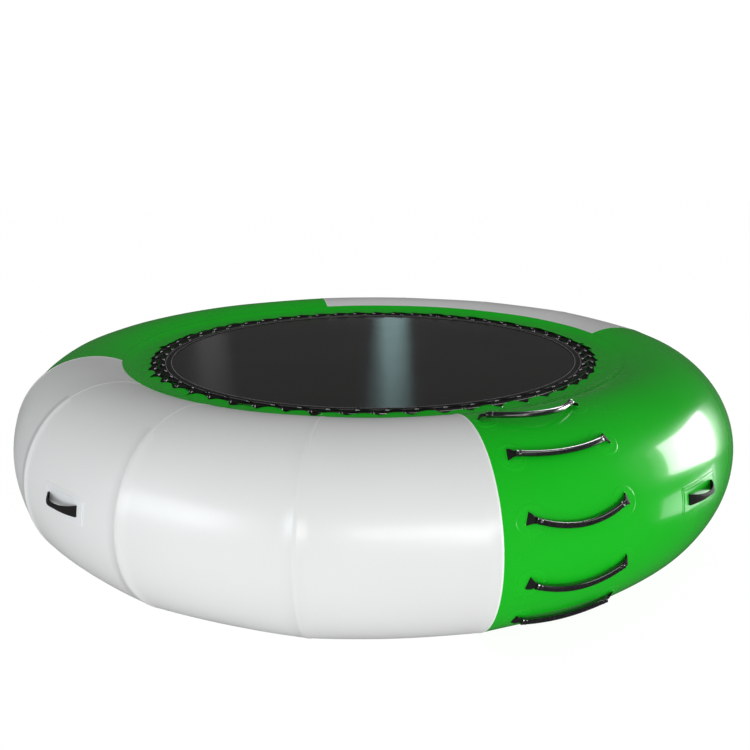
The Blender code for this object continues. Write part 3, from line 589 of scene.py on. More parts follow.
def turned(name, sides, profile, closed=False):
    # a ring drawn out step by step: profile is (radius, height), turned round Z
    radius, height = profile[0]
    dropSelection()
    bpy.ops.mesh.primitive_circle_add(vertices=sides, radius=radius, location=(0, 0, height))
    piece = newest(name)
    applyPlace(piece)
    bpy.ops.object.mode_set(mode="EDIT")
    bpy.ops.mesh.select_mode(type="VERT")
    bpy.ops.mesh.select_all(action="SELECT")
    for after in list(profile[1:]) + ([profile[0]] if closed else []):
        bpy.ops.mesh.extrude_region()
        if after[0] > 0:
            grow = after[0] / radius
            bpy.ops.transform.resize(value=(grow, grow, 1.0), center_override=(0, 0, height))
        bpy.ops.transform.translate(value=(0, 0, after[1] - height))
        if after[0] == 0:
            bpy.ops.mesh.merge(type="CENTER")
        radius, height = after
    bpy.ops.object.mode_set(mode="OBJECT")
    return facesOut(piece)


def strip(name, across, along, rule):
    # a sheet whose points follow rule(u, v), u and v from -1 to 1
    dropSelection()
    bpy.ops.mesh.primitive_grid_add(x_subdivisions=across, y_subdivisions=along, size=2.0)
    piece = newest(name)
    return movePoints(piece, lambda point: rule(point.x, point.y))


def cordAlong(name, path, diameter, sides=2, loop=False, radii=None):
    curve = bpy.data.curves.new(name, "CURVE")
    curve.dimensions = "3D"
    curve.bevel_depth = diameter / 2
    curve.bevel_resolution = sides
    curve.use_fill_caps = True
    spline = curve.splines.new("POLY")
    spline.points.add(len(path) - 1)
    spline.use_cyclic_u = loop
    for i, point in enumerate(path):
        spline.points[i].co = (*point, 1.0)
        spline.points[i].radius = radii[i] if radii else 1.0
    obj = bpy.data.objects.new(name, curve)
    bpy.context.scene.collection.objects.link(obj)
    makeActive(obj)
    bpy.ops.object.convert(target="MESH")
    return facesOut(newest(name))


def roundCurve(a, b, c, d, t):
    # from b to c as t goes from 0 to 1, with a before them and d after
    return 0.5 * ((2 * b) + (c - a) * t + (2 * a - 5 * b + 4 * c - d) * t * t
                  + (3 * b - a - 3 * c + d) * t ** 3)


def smoothPath(points, steps, loop=False):
    # a round curve through the points
    count = len(points)
    out = []
    for i in range(count if loop else count - 1):
        near = [(i + k) % count if loop else min(max(i + k, 0), count - 1) for k in (-1, 0, 1, 2)]
        p = [points[k] for k in near]
        for j in range(steps):
            t = j / steps
            out.append(roundCurve(*p, t))
    return out if loop else out + [points[-1]]


def between(table, share):
    # table is (share, value, value, ...) rows; gives the values at a share, on a round curve through them
    last = len(table) - 1
    row = max([i for i in range(last) if table[i][0] <= share] or [0])
    t = min(max((share - table[row][0]) / (table[row + 1][0] - table[row][0]), 0.0), 1.0)
    near = [table[min(max(row + k, 0), last)][1:] for k in (-1, 0, 1, 2)]
    return [roundCurve(a, b, c, d, t) for a, b, c, d in zip(*near)]


def webbingStrap(strap, thickness, edge):
    # a strip of webbing given its thickness and soft edges
    facesOut(strap)
    solidify(strap, thickness, 0.0)
    roundEdges(strap, edge, 2)
    smooth(strap, 50.0)
    return dress(strap, blackWebbing)


def ringOf(piece, name, count):
    # the piece repeated round Z, joined into one
    dropSelection()
    hub = bpy.data.objects.new("hub", None)
    bpy.context.scene.collection.objects.link(hub)
    hub.rotation_euler.z = 2 * math.pi / count
    bpy.context.view_layer.update()
    addModifier(piece, "round", "ARRAY", count=count, use_relative_offset=False, use_object_offset=True,
                offset_object=hub)
    applyModifiers(piece)
    scrap(hub)
    return newest(name)


# What lies on the skin

def skinHit(origin, direction):
    for nudge in (0.0, 0.0004, -0.0004):
        start = origin + Vector((nudge, nudge, 0.0))
        found, place, normal, _ = skinGuide.ray_cast(start, direction, distance=0.6)
        if found:
            return place, normal
    raise ValueError(f"no skin under {origin}")


def skinFrame(azimuth, section):
    frame = tubeFrame(azimuth, section)
    out = frame.col[2].to_3d()
    place, _ = skinHit(frame.translation + out * 0.25, -out)
    frame.translation = place
    return frame


def layOnSkin(piece, frame):
    # a piece modelled flat, its height then measured off the skin
    out = frame.col[2].to_3d()
    for point in piece.data.vertices:
        over = frame @ Vector((point.co.x, point.co.y, 0.2))
        place, normal = skinHit(over, -out)
        point.co = place + normal * point.co.z
    piece.data.update()
    return piece


def skinUnder(azimuth, radius):
    # height of the skin's top at a radius
    place, _ = skinHit(around(azimuth, radius, 1.2), Vector((0, 0, -1)))
    return place.z


# The ring of welded panels

def seamSwell(azimuth, section):
    # white panels run straighter between their seams, and the green beside them eases back
    place = ((azimuth - tubeShape["firstSeam"]) * tubeShape["panels"] / 360.0) % tubeShape["panels"]
    panel = int(place)
    share = place - panel
    if (panel // 4) % 2 == 1:
        swell = (2 * share - 1) ** 2
    else:
        away = {0: share, 3: 1 - share}.get(panel % 4, 1.0)
        swell = max(0.0, 1 - away / tubeShape["easeShare"]) ** 2
    outside = min(max((math.cos(math.radians(section)) + 0.2) / 0.8, 0.0), 1.0)
    return tubeShape["seamRise"] * swell * outside * outside * (3 - 2 * outside)


def rippled(point):
    # soft unevenness of the skin, the same on both sides of a seam
    azimuth, section = azimuthOf(point), sectionOf(point)
    out = tubeFrame(azimuth, section).col[2].to_3d()
    swell = noise.noise(point / tubeShape["rippleSize"])
    return (point + out * (swell * tubeShape["rippleDepth"])
            + around(azimuth, seamSwell(azimuth, section), 0.0))


def skinOut(panel):
    # faces away from the middle of the tube
    makeActive(panel)
    face = panel.data.polygons[0]
    middle = around(azimuthOf(face.center), ringRadius, tubeMiddle)
    if face.normal.dot(face.center - middle) < 0:
        panel.data.flip_normals()


def makePanel(rise):
    # the tube's section at the first seam, spun to the next one
    shape = tubeShape
    panelTurn = 360.0 / shape["panels"]
    dropSelection()
    bpy.ops.mesh.primitive_circle_add(vertices=shape["sectionSteps"], radius=1.0)
    panel = newest("panel")
    panel.scale = (shape["halfWidth"], shape["halfHeight"], 1.0)
    applyPlace(panel)
    panel.rotation_euler = (math.radians(90.0), 0.0, math.radians(shape["firstSeam"] - 90.0))
    panel.location = around(shape["firstSeam"], ringRadius, tubeMiddle)
    applyPlace(panel)
    editAll(panel)
    bpy.ops.mesh.spin(steps=shape["stepsPerPanel"], angle=math.radians(-panelTurn), center=(0, 0, 0),
                      axis=(0, 0, 1))
    bpy.ops.object.mode_set(mode="OBJECT")

    def share(point):
        return wrapped(azimuthOf(point) - shape["firstSeam"]) / panelTurn

    column = 1 / shape["stepsPerPanel"]

    def narrowTape(point):
        # the two rows beside each seam move in: a thin line along the seam, then the weld tape
        at = share(point)
        for end, inward in ((0, 1), (1, -1)):
            for row, place in ((1, shape["lineTurn"]), (2, shape["tapeTurn"])):
                if abs(abs(at - end) - row * column) < 0.001:
                    back = place - row * column * panelTurn
                    return Matrix.Rotation(inward * math.radians(back), 3, "Z") @ point
        return point

    movePoints(panel, narrowTape)
    skinOut(panel)
    flat = len(panel.data.polygons)
    tape = shape["tapeTurn"] / panelTurn
    for end in (0, 1):
        pickFaces(panel, lambda face: abs(share(face.center) - end) < tape)
        bpy.ops.mesh.inset(thickness=shape["weldEdge"], depth=rise, use_boundary=False)
        bpy.ops.object.mode_set(mode="OBJECT")
    # on white panels the tape and its edges take finishes painted paler than the skin: partly a painted
    # highlight
    for face in panel.data.polygons:
        onWeld = min(abs(share(face.center)), abs(share(face.center) - 1)) < tape
        face.material_index = 2 if face.index >= flat else (1 if onWeld else 0)
    return panel


def drawLine(panel, seam):
    # the pale line where a white panel meets a green one, painted paler and mintier than the white skin: a
    # painted highlight along the seam
    azimuth = tubeShape["firstSeam"] + 360.0 / tubeShape["panels"] * seam
    for face in panel.data.polygons:
        if abs(wrapped(azimuthOf(face.center) - azimuth)) < tubeShape["lineTurn"]:
            face.material_index = 3


def makeTube():
    # the green seams lie flush, the white ones stand out
    shape = tubeShape
    masters = {"green": makePanel(0.0), "white": makePanel(shape["weldRise"])}
    panels = []
    for i in range(shape["panels"]):
        turn = Matrix.Rotation(math.radians(360.0 / shape["panels"] * i), 4, "Z")
        white = (i // 4) % 2 == 1
        panel = copyOf(masters["white" if white else "green"], f"panel_{i + 1:02d}", turn)
        movePoints(panel, rippled)
        if white:
            dress(panel, whitePvc, whiteWeldHighlight, whiteWeldEdgeHighlight, whiteSeamHighlight)
            if i % 4 in (0, 3):
                drawLine(panel, i + (i % 4) // 3)
        else:
            dress(panel, greenPvc, greenWeld, greenEdge)
        panels.append(panel)
    for master in masters.values():
        scrap(master)
    guide = joinAll([copyOf(panel, f"guide_{panel.name}") for panel in panels], "skin_guide")
    facesOut(guide)
    for i, panel in enumerate(panels):
        solidify(panel, shape["skin"])
        smooth(panel, 30.0)
        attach(panel, "tube")
        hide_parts(f"tube_panel_{i + 1:02d}")
    return guide


skinGuide = makeTube()
print("ring of panels done")


# The cover flap: welded on the shoulder, its inner edge cut in a loose scallop

flapShape = {"steps": 672, "weldOuter": 1.4235, "weldInner": 1.391, "weldEdge": 0.003, "lift": 0.0012,
             "thickness": 0.0012, "line": (1.3335, 1.3365), "weldLift": 0.0030, "loose": 0.055,
             "free": ((1.360, 0.8612), (1.3365, 0.8581), (1.3335, 0.8577), (1.300, 0.8537), (1.2725, 0.8513)),
             "laces": 56, "phase": -0.25, "notchShift": 0.22, "notchWidth": 0.17, "deepNotch": 0.032,
             "shallow": (0.15, 0.55), "deep": (0.7, 1.0), "deepOdds": 0.22, "widths": (0.7, 1.5),
             "drift": 0.12, "frontNotch": 54, "frontDepth": 1.35, "frontWidth": 1.2, "scallop": 0.0066,
             "scallopShift": 0.4, "crest": (0.003, 0.013), "rimWidth": 0.0055, "rimRise": 0.0002,
             "curl": 0.0025}


def hemCuts():
    # beside each outer ring: how deep the edge is cut, how wide, and how far aside
    shape = flapShape
    cuts = []
    for i in range(shape["laces"]):
        depth = random.uniform(*shape["shallow"]) * shape["deepNotch"]
        if random.random() < shape["deepOdds"]:
            depth = shape["deepNotch"] * random.uniform(*shape["deep"])
        width = shape["notchWidth"] * random.uniform(*shape["widths"])
        cuts.append((depth, width, random.uniform(-shape["drift"], shape["drift"])))
    cuts[shape["frontNotch"]] = (shape["deepNotch"] * shape["frontDepth"],
                                 shape["notchWidth"] * shape["frontWidth"], 0.0)
    return cuts


def makeFlap():
    shape = flapShape
    step = 360.0 / shape["laces"]
    cuts = hemCuts()
    crests = [random.uniform(*shape["crest"]) for _ in cuts]
    innerRadius = shape["free"][-1][0]
    outer, inner = shape["weldOuter"], shape["weldInner"]
    width = outer - inner
    weldEdge, edge = shape["weldEdge"], shape["free"][-1][1]
    stations = [(outer, 0.0), (outer - weldEdge, 0.0), (outer - width / 2, 0.0), (inner + weldEdge, 0.0),
                (inner, 0.0)]
    rim = [(innerRadius + shape["rimWidth"], edge + shape["rimRise"]), (innerRadius, edge + shape["curl"])]
    flap = turned("flap", shape["steps"], stations + list(shape["free"][:-1]) + rim)

    def lacesFrom(azimuth):
        return (azimuth - shape["phase"]) / step - shape["notchShift"]

    def cutBack(place):
        near = round(place)
        depth, half, shift = cuts[near % shape["laces"]]
        away = (place - near - shift) / half
        notch = depth * max(0.0, 1 - away * away) ** 0.7
        wave = 0.5 - 0.5 * math.cos(2 * math.pi * (place + shape["scallopShift"]))
        return notch + shape["scallop"] * wave

    def settle(point):
        # the weld zone lies on the skin; the free part is cut back and stands up between its notches
        radius = math.hypot(point.x, point.y)
        azimuth = azimuthOf(point)
        if radius > inner - weldEdge / 2:
            high = shape["weldLift"] if radius < outer - weldEdge / 2 else shape["lift"]
            return around(azimuth, radius, skinUnder(azimuth, radius) + high)
        share = max(0.0, 1 - (radius - innerRadius) / shape["loose"])
        place = lacesFrom(azimuth)
        back = cutBack(place) * share ** 1.5
        crest = crests[math.floor(place) % shape["laces"]]
        lift = crest * math.sin(math.pi * (place % 1.0)) ** 0.8 * share ** 1.3
        return around(azimuth, radius + back, point.z + lift)

    movePoints(flap, settle)
    for face in flap.data.polygons:
        onLine = shape["line"][0] < math.hypot(face.center.x, face.center.y) < shape["line"][1]
        face.material_index = 2 if onLine else 0
    # the last ring of faces, the cut rim, takes the paler green: a painted highlight
    for face in list(flap.data.polygons)[-shape["steps"]:]:
        face.material_index = 1
    dress(flap, greenPvc, flapRimHighlight, flapLine)
    solidify(flap, shape["thickness"])
    smooth(flap, 40.0)
    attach(flap, "tube")
    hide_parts("cover_flap")
    return flap


makeFlap()
print("cover flap done")

# The bed: woven mat, stitched border and hem, and the band on the tube that it is laced to

bedShape = {"sides": 336, "low": 0.8449, "top": 0.8467, "bead": 0.0016, "beadRise": 0.0002,
            "matRadius": 1.1985, "matTop": 0.8491, "matThick": 0.0018, "matRows": 20, "sag": 0.004,
            "waveSize": 0.55, "waveDepth": 0.0016, "borderInner": 1.1589, "borderOuter": 1.1986,
            "borderLow": 0.8493, "borderTop": 0.8518, "hemInner": 1.1499, "hemOuter": 1.2279,
            "bandInner": 1.2359, "bandFoot": 1.340, "bandLeaves": 1.348, "bandOuter": 1.366,
            "bandThick": 0.0016, "bandGap": 0.0004}
laceShape = {"count": 56, "phase": -0.25, "cord": 0.008, "turn": 0.005, "outerWire": 1.2482,
             "innerWire": 1.2156, "wireHeight": 0.8575, "wrap": 0.0066, "perPiece": 2, "smoothness": 4}
ringShape = {"width": 0.022, "reach": 0.0155, "wire": 0.0042, "barHeight": 0.8508, "rise": 0.0067,
             "bar": 0.92, "stretch": 1.35}
tabShape = {"width": 0.026}
stitchShape = {"length": 0.0095, "width": 0.0034, "height": 0.0011, "pitch": 0.0116,
               "rows": (1.1632, 1.1948)}


def makeMat():
    shape = bedShape
    rim = shape["matRadius"]
    stations = [(rim, shape["matTop"]), (rim - 0.002, shape["matTop"])]
    for i in range(1, shape["matRows"]):
        share = (1 - i / shape["matRows"]) * (rim - 0.002)
        stations.append((share, shape["matTop"] - shape["sag"] * (1 - (share / rim) ** 2)))
    stations.append((0.0, shape["matTop"] - shape["sag"]))
    mat = turned("mat", shape["sides"], stations)
    waves = bpy.data.textures.new("mat waves", "CLOUDS")
    waves.noise_scale = shape["waveSize"]
    addModifier(mat, "waves", "DISPLACE", texture=waves, texture_coords="GLOBAL",
                strength=shape["waveDepth"], mid_level=0.6)
    applyModifiers(mat)
    solidify(mat, shape["matThick"])
    smooth(mat, 40.0)
    dress(mat, matWeave)
    litOnly["mat"].objects.link(mat)
    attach(mat, "bed")
    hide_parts("jump_mat")


def makeStitches(name, radius):
    dropSelection()
    bpy.ops.mesh.primitive_uv_sphere_add(segments=6, ring_count=4, radius=0.5,
                                         location=around(0.0, radius, bedShape["borderTop"]))
    stitch = newest(name)
    stitch.scale = (stitchShape["length"], stitchShape["width"], 2 * stitchShape["height"])
    applyPlace(stitch)
    return ringOf(stitch, name, round(2 * math.pi * radius / stitchShape["pitch"]))


def makeWebbingRing(name, inner, outer, low, top, node, body):
    edge = bedShape["bead"]
    middle = (low + top) / 2
    ridge = top + bedShape["beadRise"]
    profile = [(outer, middle), (outer - edge / 2, top), (outer - 2 * edge, ridge), (outer - 3 * edge, top),
               (inner + 3 * edge, top), (inner + 2 * edge, ridge), (inner + edge / 2, top), (inner, middle),
               (inner + edge / 2, low), (outer - edge / 2, low)]
    ring = turned(name, bedShape["sides"], profile, closed=True)
    smooth(ring, 35.0)
    dress(ring, blackWebbing)
    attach(ring, body)
    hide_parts(node)
    return ring


def makeBand():
    shape = bedShape
    low, top = shape["low"], shape["top"]

    def skinZ(radius):
        share = (radius - ringRadius) / tubeShape["halfWidth"]
        return tubeMiddle + tubeShape["halfHeight"] * math.sqrt(1 - share * share)

    outer = [shape["bandLeaves"] + (shape["bandOuter"] - shape["bandLeaves"]) * i / 3 for i in range(4)]
    upper = [(radius, skinZ(radius) + shape["bandThick"]) for radius in outer]
    under = [(radius, skinZ(radius) + shape["bandGap"]) for radius in outer]
    inner, foot, bead = shape["bandInner"], shape["bandFoot"], shape["bead"]
    profile = upper[::-1] + [(foot, top), (inner + 3 * bead, top), (inner + 2 * bead, top + 0.0003),
                             (inner + bead / 2, top), (inner, (low + top) / 2), (inner + bead / 2, low),
                             (foot, low)] + under
    band = turned("band", shape["sides"], profile, closed=True)
    smooth(band, 35.0)
    dress(band, blackWebbing)
    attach(band, "tube")
    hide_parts("anchor_band")


def plate(name, outline, depth=0.0):
    # an outline of points on XY, drawn up to a thickness
    dropSelection()
    bpy.ops.mesh.primitive_circle_add(vertices=len(outline), radius=1.0, fill_type="NGON")
    piece = newest(name)
    for point, place in zip(piece.data.vertices, outline):
        point.co = (place[0], place[1], 0.0)
    if depth:
        editAll(piece)
        bpy.ops.mesh.extrude_region()
        bpy.ops.transform.translate(value=(0, 0, depth))
        bpy.ops.object.mode_set(mode="OBJECT")
    return facesOut(piece)


def makeLacingRing():
    # a D ring: its bar on X, its bow towards +Y
    dropSelection()
    shape = ringShape
    half = shape["width"] / 2 - shape["wire"] / 2
    bpy.ops.mesh.primitive_torus_add(major_radius=half, minor_radius=shape["wire"] / 2, major_segments=12,
                                     minor_segments=5)
    ring = newest("lacing_ring")

    def rule(point):
        turn = math.atan2(point.y, point.x)
        core = Vector((math.cos(turn) * half, math.sin(turn) * half, 0))
        rest = point - core
        bow = Vector((core.x, max(core.y, 0.0) / half * shape["reach"], 0))
        if core.y < -0.001:
            bow.x = max(-half * shape["bar"], min(half * shape["bar"], core.x * shape["stretch"]))
        return bow + rest

    movePoints(ring, rule)
    return smooth(ring, 60.0)


def makeTab():
    # webbing folded round the ring's bar; X across, Y away from the bow
    outline = [(-0.0034, 0.0000), (-0.0022, 0.0026), (0.0004, 0.0034), (0.0040, 0.0020), (0.0200, -0.0014),
               (0.0200, -0.0040), (0.0010, -0.0040), (-0.0024, -0.0026)]
    tab = plate("tab", outline, tabShape["width"])
    turn = Matrix(((0, 0, 1, -tabShape["width"] / 2), (-1, 0, 0, 0), (0, 1, 0, 0), (0, 0, 0, 1)))
    tab.data.transform(turn)
    facesOut(tab)
    return smooth(tab, 30.0)


def ringPlace(inward, phase):
    # a frame at the ring's bar: X along the ring, Y towards the lacing, Z up
    shape = ringShape
    radius = laceShape["outerWire"] + shape["reach"] if inward else laceShape["innerWire"] - shape["reach"]
    slope = math.asin(shape["rise"] / shape["reach"])
    outward = around(phase, 1.0, 0.0)
    toward = -outward if inward else outward
    along = toward.cross(Vector((0, 0, 1)))
    tilted = toward * math.cos(slope) + Vector((0, 0, math.sin(slope)))
    base = around(phase, radius, shape["barHeight"])
    rings = Matrix((along, tilted, along.cross(tilted))).transposed().to_4x4()
    flat = Matrix((along, toward, Vector((0, 0, 1)))).transposed().to_4x4()
    rings.translation = base
    flat.translation = base
    return rings, flat


def makeRings():
    ring = makeLacingRing()
    tab = makeTab()
    count = laceShape["count"]
    sides = (("outer", "tube", laceShape["phase"], "anchor_band"),
             ("inner", "bed", laceShape["phase"] + 180 / count, "mat_hem"))
    for side, body, phase, node in sides:
        tilted, flat = ringPlace(side == "outer", phase)
        rings = ringOf(copyOf(ring, "one", tilted), f"rings_{side}", count)
        tabs = ringOf(copyOf(tab, "one", flat), f"tabs_{side}", count)
        # the rings take the near-white finish: a painted glint
        dress(rings, nickelPaintedGlint)
        dress(tabs, blackWebbing)
        for piece, slotName in ((rings, "ring_steel"), (tabs, "webbing_black")):
            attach(piece, body)
            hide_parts(node)
    scrap(ring)
    scrap(tab)


def lacePath(steps):
    # over each outer ring's bow, down through it, and up through the next inner one
    shape = laceShape
    step = 360.0 / shape["count"]
    up, down = shape["wireHeight"] + shape["wrap"], shape["wireHeight"] - shape["wrap"]
    turn, middle = shape["turn"], shape["wireHeight"]
    points = []
    for i in range(-1, steps + 1):
        inner = shape["phase"] + (i - 0.5) * step
        outer = shape["phase"] + i * step
        wire, away = shape["innerWire"], shape["innerWire"] - shape["wrap"]
        for shift, radius, height in ((-turn, wire, down), (0.0, away, middle), (turn, wire, up)):
            points.append(around(inner + math.degrees(shift / radius), radius, height))
        wire, away = shape["outerWire"], shape["outerWire"] + shape["wrap"]
        for shift, radius, height in ((-turn, wire, up), (0.0, away, middle), (turn, wire, down)):
            points.append(around(outer + math.degrees(shift / radius), radius, height))
    # six points a step; the whole begins a step early, so that both ends are round
    smoothness = shape["smoothness"]
    whole = smoothPath(points, smoothness)
    first = 7 * smoothness
    return whole[first:first + 6 * smoothness * steps + 1]


def makeLacing():
    shape = laceShape
    step = 360.0 / shape["count"]
    first = cordAlong("lace", lacePath(shape["perPiece"]), shape["cord"], 1)
    smooth(first, 60.0)
    dress(first, elastic)
    pieces = shape["count"] // shape["perPiece"]
    for i in range(pieces):
        turn = step * shape["perPiece"] * i
        lace = copyOf(first, f"lace_{i + 1:02d}", Matrix.Rotation(math.radians(turn), 4, "Z"))
        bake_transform(lace)
        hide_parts(f"lacing_{i * 4 // pieces + 1}")
    scrap(first)


makeMat()
rows = [makeStitches(f"row_{i}", radius) for i, radius in enumerate(stitchShape["rows"])]
stitches = joinAll(rows, "border_stitches")
smooth(stitches, 60.0)
dress(stitches, paleThread)
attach(stitches, "bed")
makeWebbingRing("border", bedShape["borderInner"], bedShape["borderOuter"], bedShape["borderLow"],
                bedShape["borderTop"], "mat_border", "bed")
makeWebbingRing("hem", bedShape["hemInner"], bedShape["hemOuter"], bedShape["low"], bedShape["top"],
                "mat_hem", "bed")
makeBand()
makeRings()
makeLacing()
print("bed and lacing done")

# Round patches and other welded plates

discShape = {"sides": 48, "thickness": 0.0012, "ridge": 0.0003}
slitShape = {"length": 0.062, "width": 0.016, "height": 0.0032}


def stadium(length, width, steps=6):
    # a slot's outline, long in Y
    flat = (length - width) / 2
    points = []
    for start, rise in ((0.0, flat), (math.pi, -flat)):
        for i in range(steps + 1):
            angle = start + math.pi * i / steps
            points.append((width / 2 * math.cos(angle), rise + width / 2 * math.sin(angle)))
    return points


def roundPatch(name, radius, frame, trim=None):
    top, ridge = 0.0013, 0.0013 + discShape["ridge"]
    profile = [(radius, 0.0003), (radius - 0.0025, 0.0009), (radius - 0.0050, top), (radius * 0.90, top),
               (radius * 0.87, ridge), (radius * 0.84, ridge), (radius * 0.81, top), (radius * 0.56, top),
               (radius * 0.53, ridge), (radius * 0.50, ridge), (radius * 0.47, top), (radius * 0.30, top),
               (radius * 0.15, top), (0.0, top)]
    patch = turned(name, discShape["sides"], profile)
    if trim is not None:
        editAll(patch)
        bpy.ops.mesh.bisect(plane_co=(trim, 0, 0), plane_no=(-1, 0, 0), clear_outer=True)
        bpy.ops.object.mode_set(mode="OBJECT")
    layOnSkin(patch, frame)
    solidify(patch, discShape["thickness"])
    return patch


def slitCollar(name, frame, place, lean):
    collar = plate(name, stadium(slitShape["length"], slitShape["width"]))
    editAll(collar)
    bpy.ops.mesh.extrude_region()
    bpy.ops.transform.translate(value=(0, 0, slitShape["height"]))
    bpy.ops.mesh.inset(thickness=0.0025, depth=0.0006)
    bpy.ops.mesh.inset(thickness=0.0025, depth=-0.0016)
    bpy.ops.object.mode_set(mode="OBJECT")
    facesOut(collar)
    turn = Matrix.Rotation(lean, 3, "Z")
    movePoints(collar, lambda point: turn @ point + place)
    return layOnSkin(collar, frame)


# The boarding ladder: hosed webbing rungs on round patches

rungShape = {"count": 5, "reach": 0.2115, "drops": (0.094, 0.0329, 0.0479, 0.0423, 0.0188), "lift": 0.012,
             "hose": 0.026, "steps": 40, "cuff": 0.021, "cuffSwell": 1.04, "ridgeSwell": 1.10, "half": 0.225,
             "patch": 0.065, "trim": -0.050, "strap": 0.0034, "strapEdge": 0.0009, "tailLean": 0.85,
             "blendFrom": (0.030, -0.010), "blendTo": (0.003, 0.001)}
# share, distance out from the hose's end, height, width, cupping
fishtail = ((0.00, 0.0285, -0.036, 0.052, 0.000), (0.22, 0.0285, -0.021, 0.052, 0.000),
            (0.42, 0.0262, -0.0105, 0.051, 0.001), (0.66, 0.0155, -0.0020, 0.040, 0.003),
            (0.84, 0.0032, 0.0010, 0.027, 0.005), (1.00, -0.0110, 0.0010, 0.019, 0.006))


def rungPoint(number, share):
    bow = 1 - share * share
    drop, lift = rungShape["drops"][number - 1] * bow, rungShape["lift"] * bow
    return Vector((share * rungShape["reach"], -drop, lift))


def makeHose(number, frame):
    # the cuff at each end has a thin ridge at both of its edges
    shape = rungShape
    cuff = shape["cuff"] / shape["reach"]
    swell, ridge = shape["cuffSwell"], shape["ridgeSwell"]
    ends = [(1.0, 0.78), (0.998, 0.92), (0.994, ridge * 0.99), (0.987, ridge), (0.981, swell),
            (1 - cuff + 0.012, swell), (1 - cuff + 0.006, ridge), (1 - cuff, ridge * 0.98),
            (1 - cuff - 0.004, 1.0)]
    shares = [(-share, size) for share, size in ends]
    inner = 1 - cuff - 0.012
    for i in range(shape["steps"] + 1):
        shares.append((-inner + 2 * inner * i / shape["steps"], 1.0))
    shares += ends[::-1]
    path = [frame @ rungPoint(number, share) for share, _ in shares]
    hose = cordAlong(f"hose_{number}", path, shape["hose"], 5, radii=[size for _, size in shares])
    smooth(hose, 50.0)
    dress(hose, blackHose)
    litOnly["hoses"].objects.link(hose)
    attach(hose, f"rung_{number}")
    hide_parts(f"rung_{number}")


def tailTurn(number):
    # the webbing leaves the hose along the hose's own line
    return math.atan2(2 * rungShape["drops"][number - 1], rungShape["reach"]) * rungShape["tailLean"]


def makeFishtail(number, side, sign, frame):
    lean = tailTurn(number)
    outward = Vector((sign * math.cos(lean), math.sin(lean), 0))
    across = Vector((-sign * math.sin(lean), math.cos(lean), 0))
    end = Vector((sign * rungShape["reach"], 0, 0))

    def spot(out, z):
        return frame @ (end + outward * out + Vector((0, 0, z)))

    def rule(u, v):
        out, z, width, cup = between(fishtail, (v + 1) / 2)
        return frame @ (end + outward * out + across * (u * width / 2) + Vector((0, 0, z - cup * u * u)))

    strap = strip(f"fishtail_{number}_{side}", 8, 22, rule)
    webbingStrap(strap, rungShape["strap"], rungShape["strapEdge"])
    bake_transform(strap)
    return strap


def makeLadder():
    shape = rungShape
    for number in range(1, shape["count"] + 1):
        frame = hingeFrame(f"rung_{number}_swing")
        makeHose(number, frame)
        for side, sign in (("left", -1), ("right", 1)):
            spot = frame @ Vector((sign * shape["half"], 0, 0))
            seat = skinFrame(azimuthOf(spot), sectionOf(spot))
            besideSeam = (number, side) == (1, "left")
            patch = roundPatch("disc", shape["patch"], seat, shape["trim"] if besideSeam else None)
            lean = tailTurn(number)
            out = fishtail[0][1]
            along = shape["reach"] + out * math.cos(lean) - shape["half"]
            slit = Vector((sign * along, out * math.sin(lean), 0))
            collar = slitCollar("collar", seat, slit, sign * lean)
            patch = joinAll([patch, collar], f"patch_{number}_{side}")
            smooth(patch, 40.0)
            dress(patch, greenPatch)
            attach(patch, "tube")
            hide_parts(f"rung_patch_{number}_{side}")
            makeFishtail(number, side, sign, frame)


makeLadder()
print("ladder done")


# Carry handles: a webbing strap through a two-layer patch

handleShape = {"count": 4, "half": 0.115, "rise": 0.042, "droop": 1.0, "archPower": 2.5, "width": 0.050,
               "waist": 0.022, "cup": 0.008, "sink": 0.016, "strap": 0.0028, "patchLength": 0.330,
               "patchHeight": 0.125, "corner": 0.016, "step": 0.012, "layer": 0.0013, "strapEdge": 0.0008,
               "dip": 0.92, "blendFrom": 0.001, "blendTo": 0.024}


def roundedRectangle(length, height, corner, steps=5):
    points = []
    for i, (x, y) in enumerate(((1, 1), (-1, 1), (-1, -1), (1, -1))):
        for k in range(steps + 1):
            angle = math.pi / 2 * (i + k / steps)
            points.append((x * (length / 2 - corner) + corner * math.cos(angle),
                           y * (height / 2 - corner) + corner * math.sin(angle)))
    return points


def makeHandlePatch(number, seat):
    shape = handleShape
    length, height = shape["patchLength"], shape["patchHeight"]
    patch = plate(f"handle_base_{number}", roundedRectangle(length, height, shape["corner"]))
    makeActive(patch)
    bpy.ops.object.mode_set(mode="EDIT")
    bpy.ops.mesh.select_mode(type="FACE")
    bpy.ops.mesh.select_all(action="SELECT")
    bpy.ops.mesh.extrude_region()
    bpy.ops.transform.translate(value=(0, 0, shape["layer"]))
    bpy.ops.mesh.inset(thickness=0.0015, depth=0.0004)
    bpy.ops.mesh.inset(thickness=shape["step"] - 0.003, depth=-0.0003)
    bpy.ops.mesh.inset(thickness=0.0012, depth=shape["layer"])
    bpy.ops.mesh.inset(thickness=0.0030, depth=0.0006)
    bpy.ops.mesh.inset(thickness=0.0015, depth=-0.0006)
    for count, size, way in ((16, length, (1, 0, 0)), (9, height, (0, 1, 0))):
        for i in range(1, count):
            bpy.ops.mesh.select_all(action="SELECT")
            bpy.ops.mesh.bisect(plane_co=Vector(way) * (size * (i / count - 0.5)), plane_no=way)
    bpy.ops.object.mode_set(mode="OBJECT")
    facesOut(patch)
    layOnSkin(patch, seat)
    smooth(patch, 30.0)
    green = number % 2 == 1
    dress(patch, greenPatch if green else whitePatch)
    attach(patch, "tube")
    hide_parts(f"handle_patch_{number}")


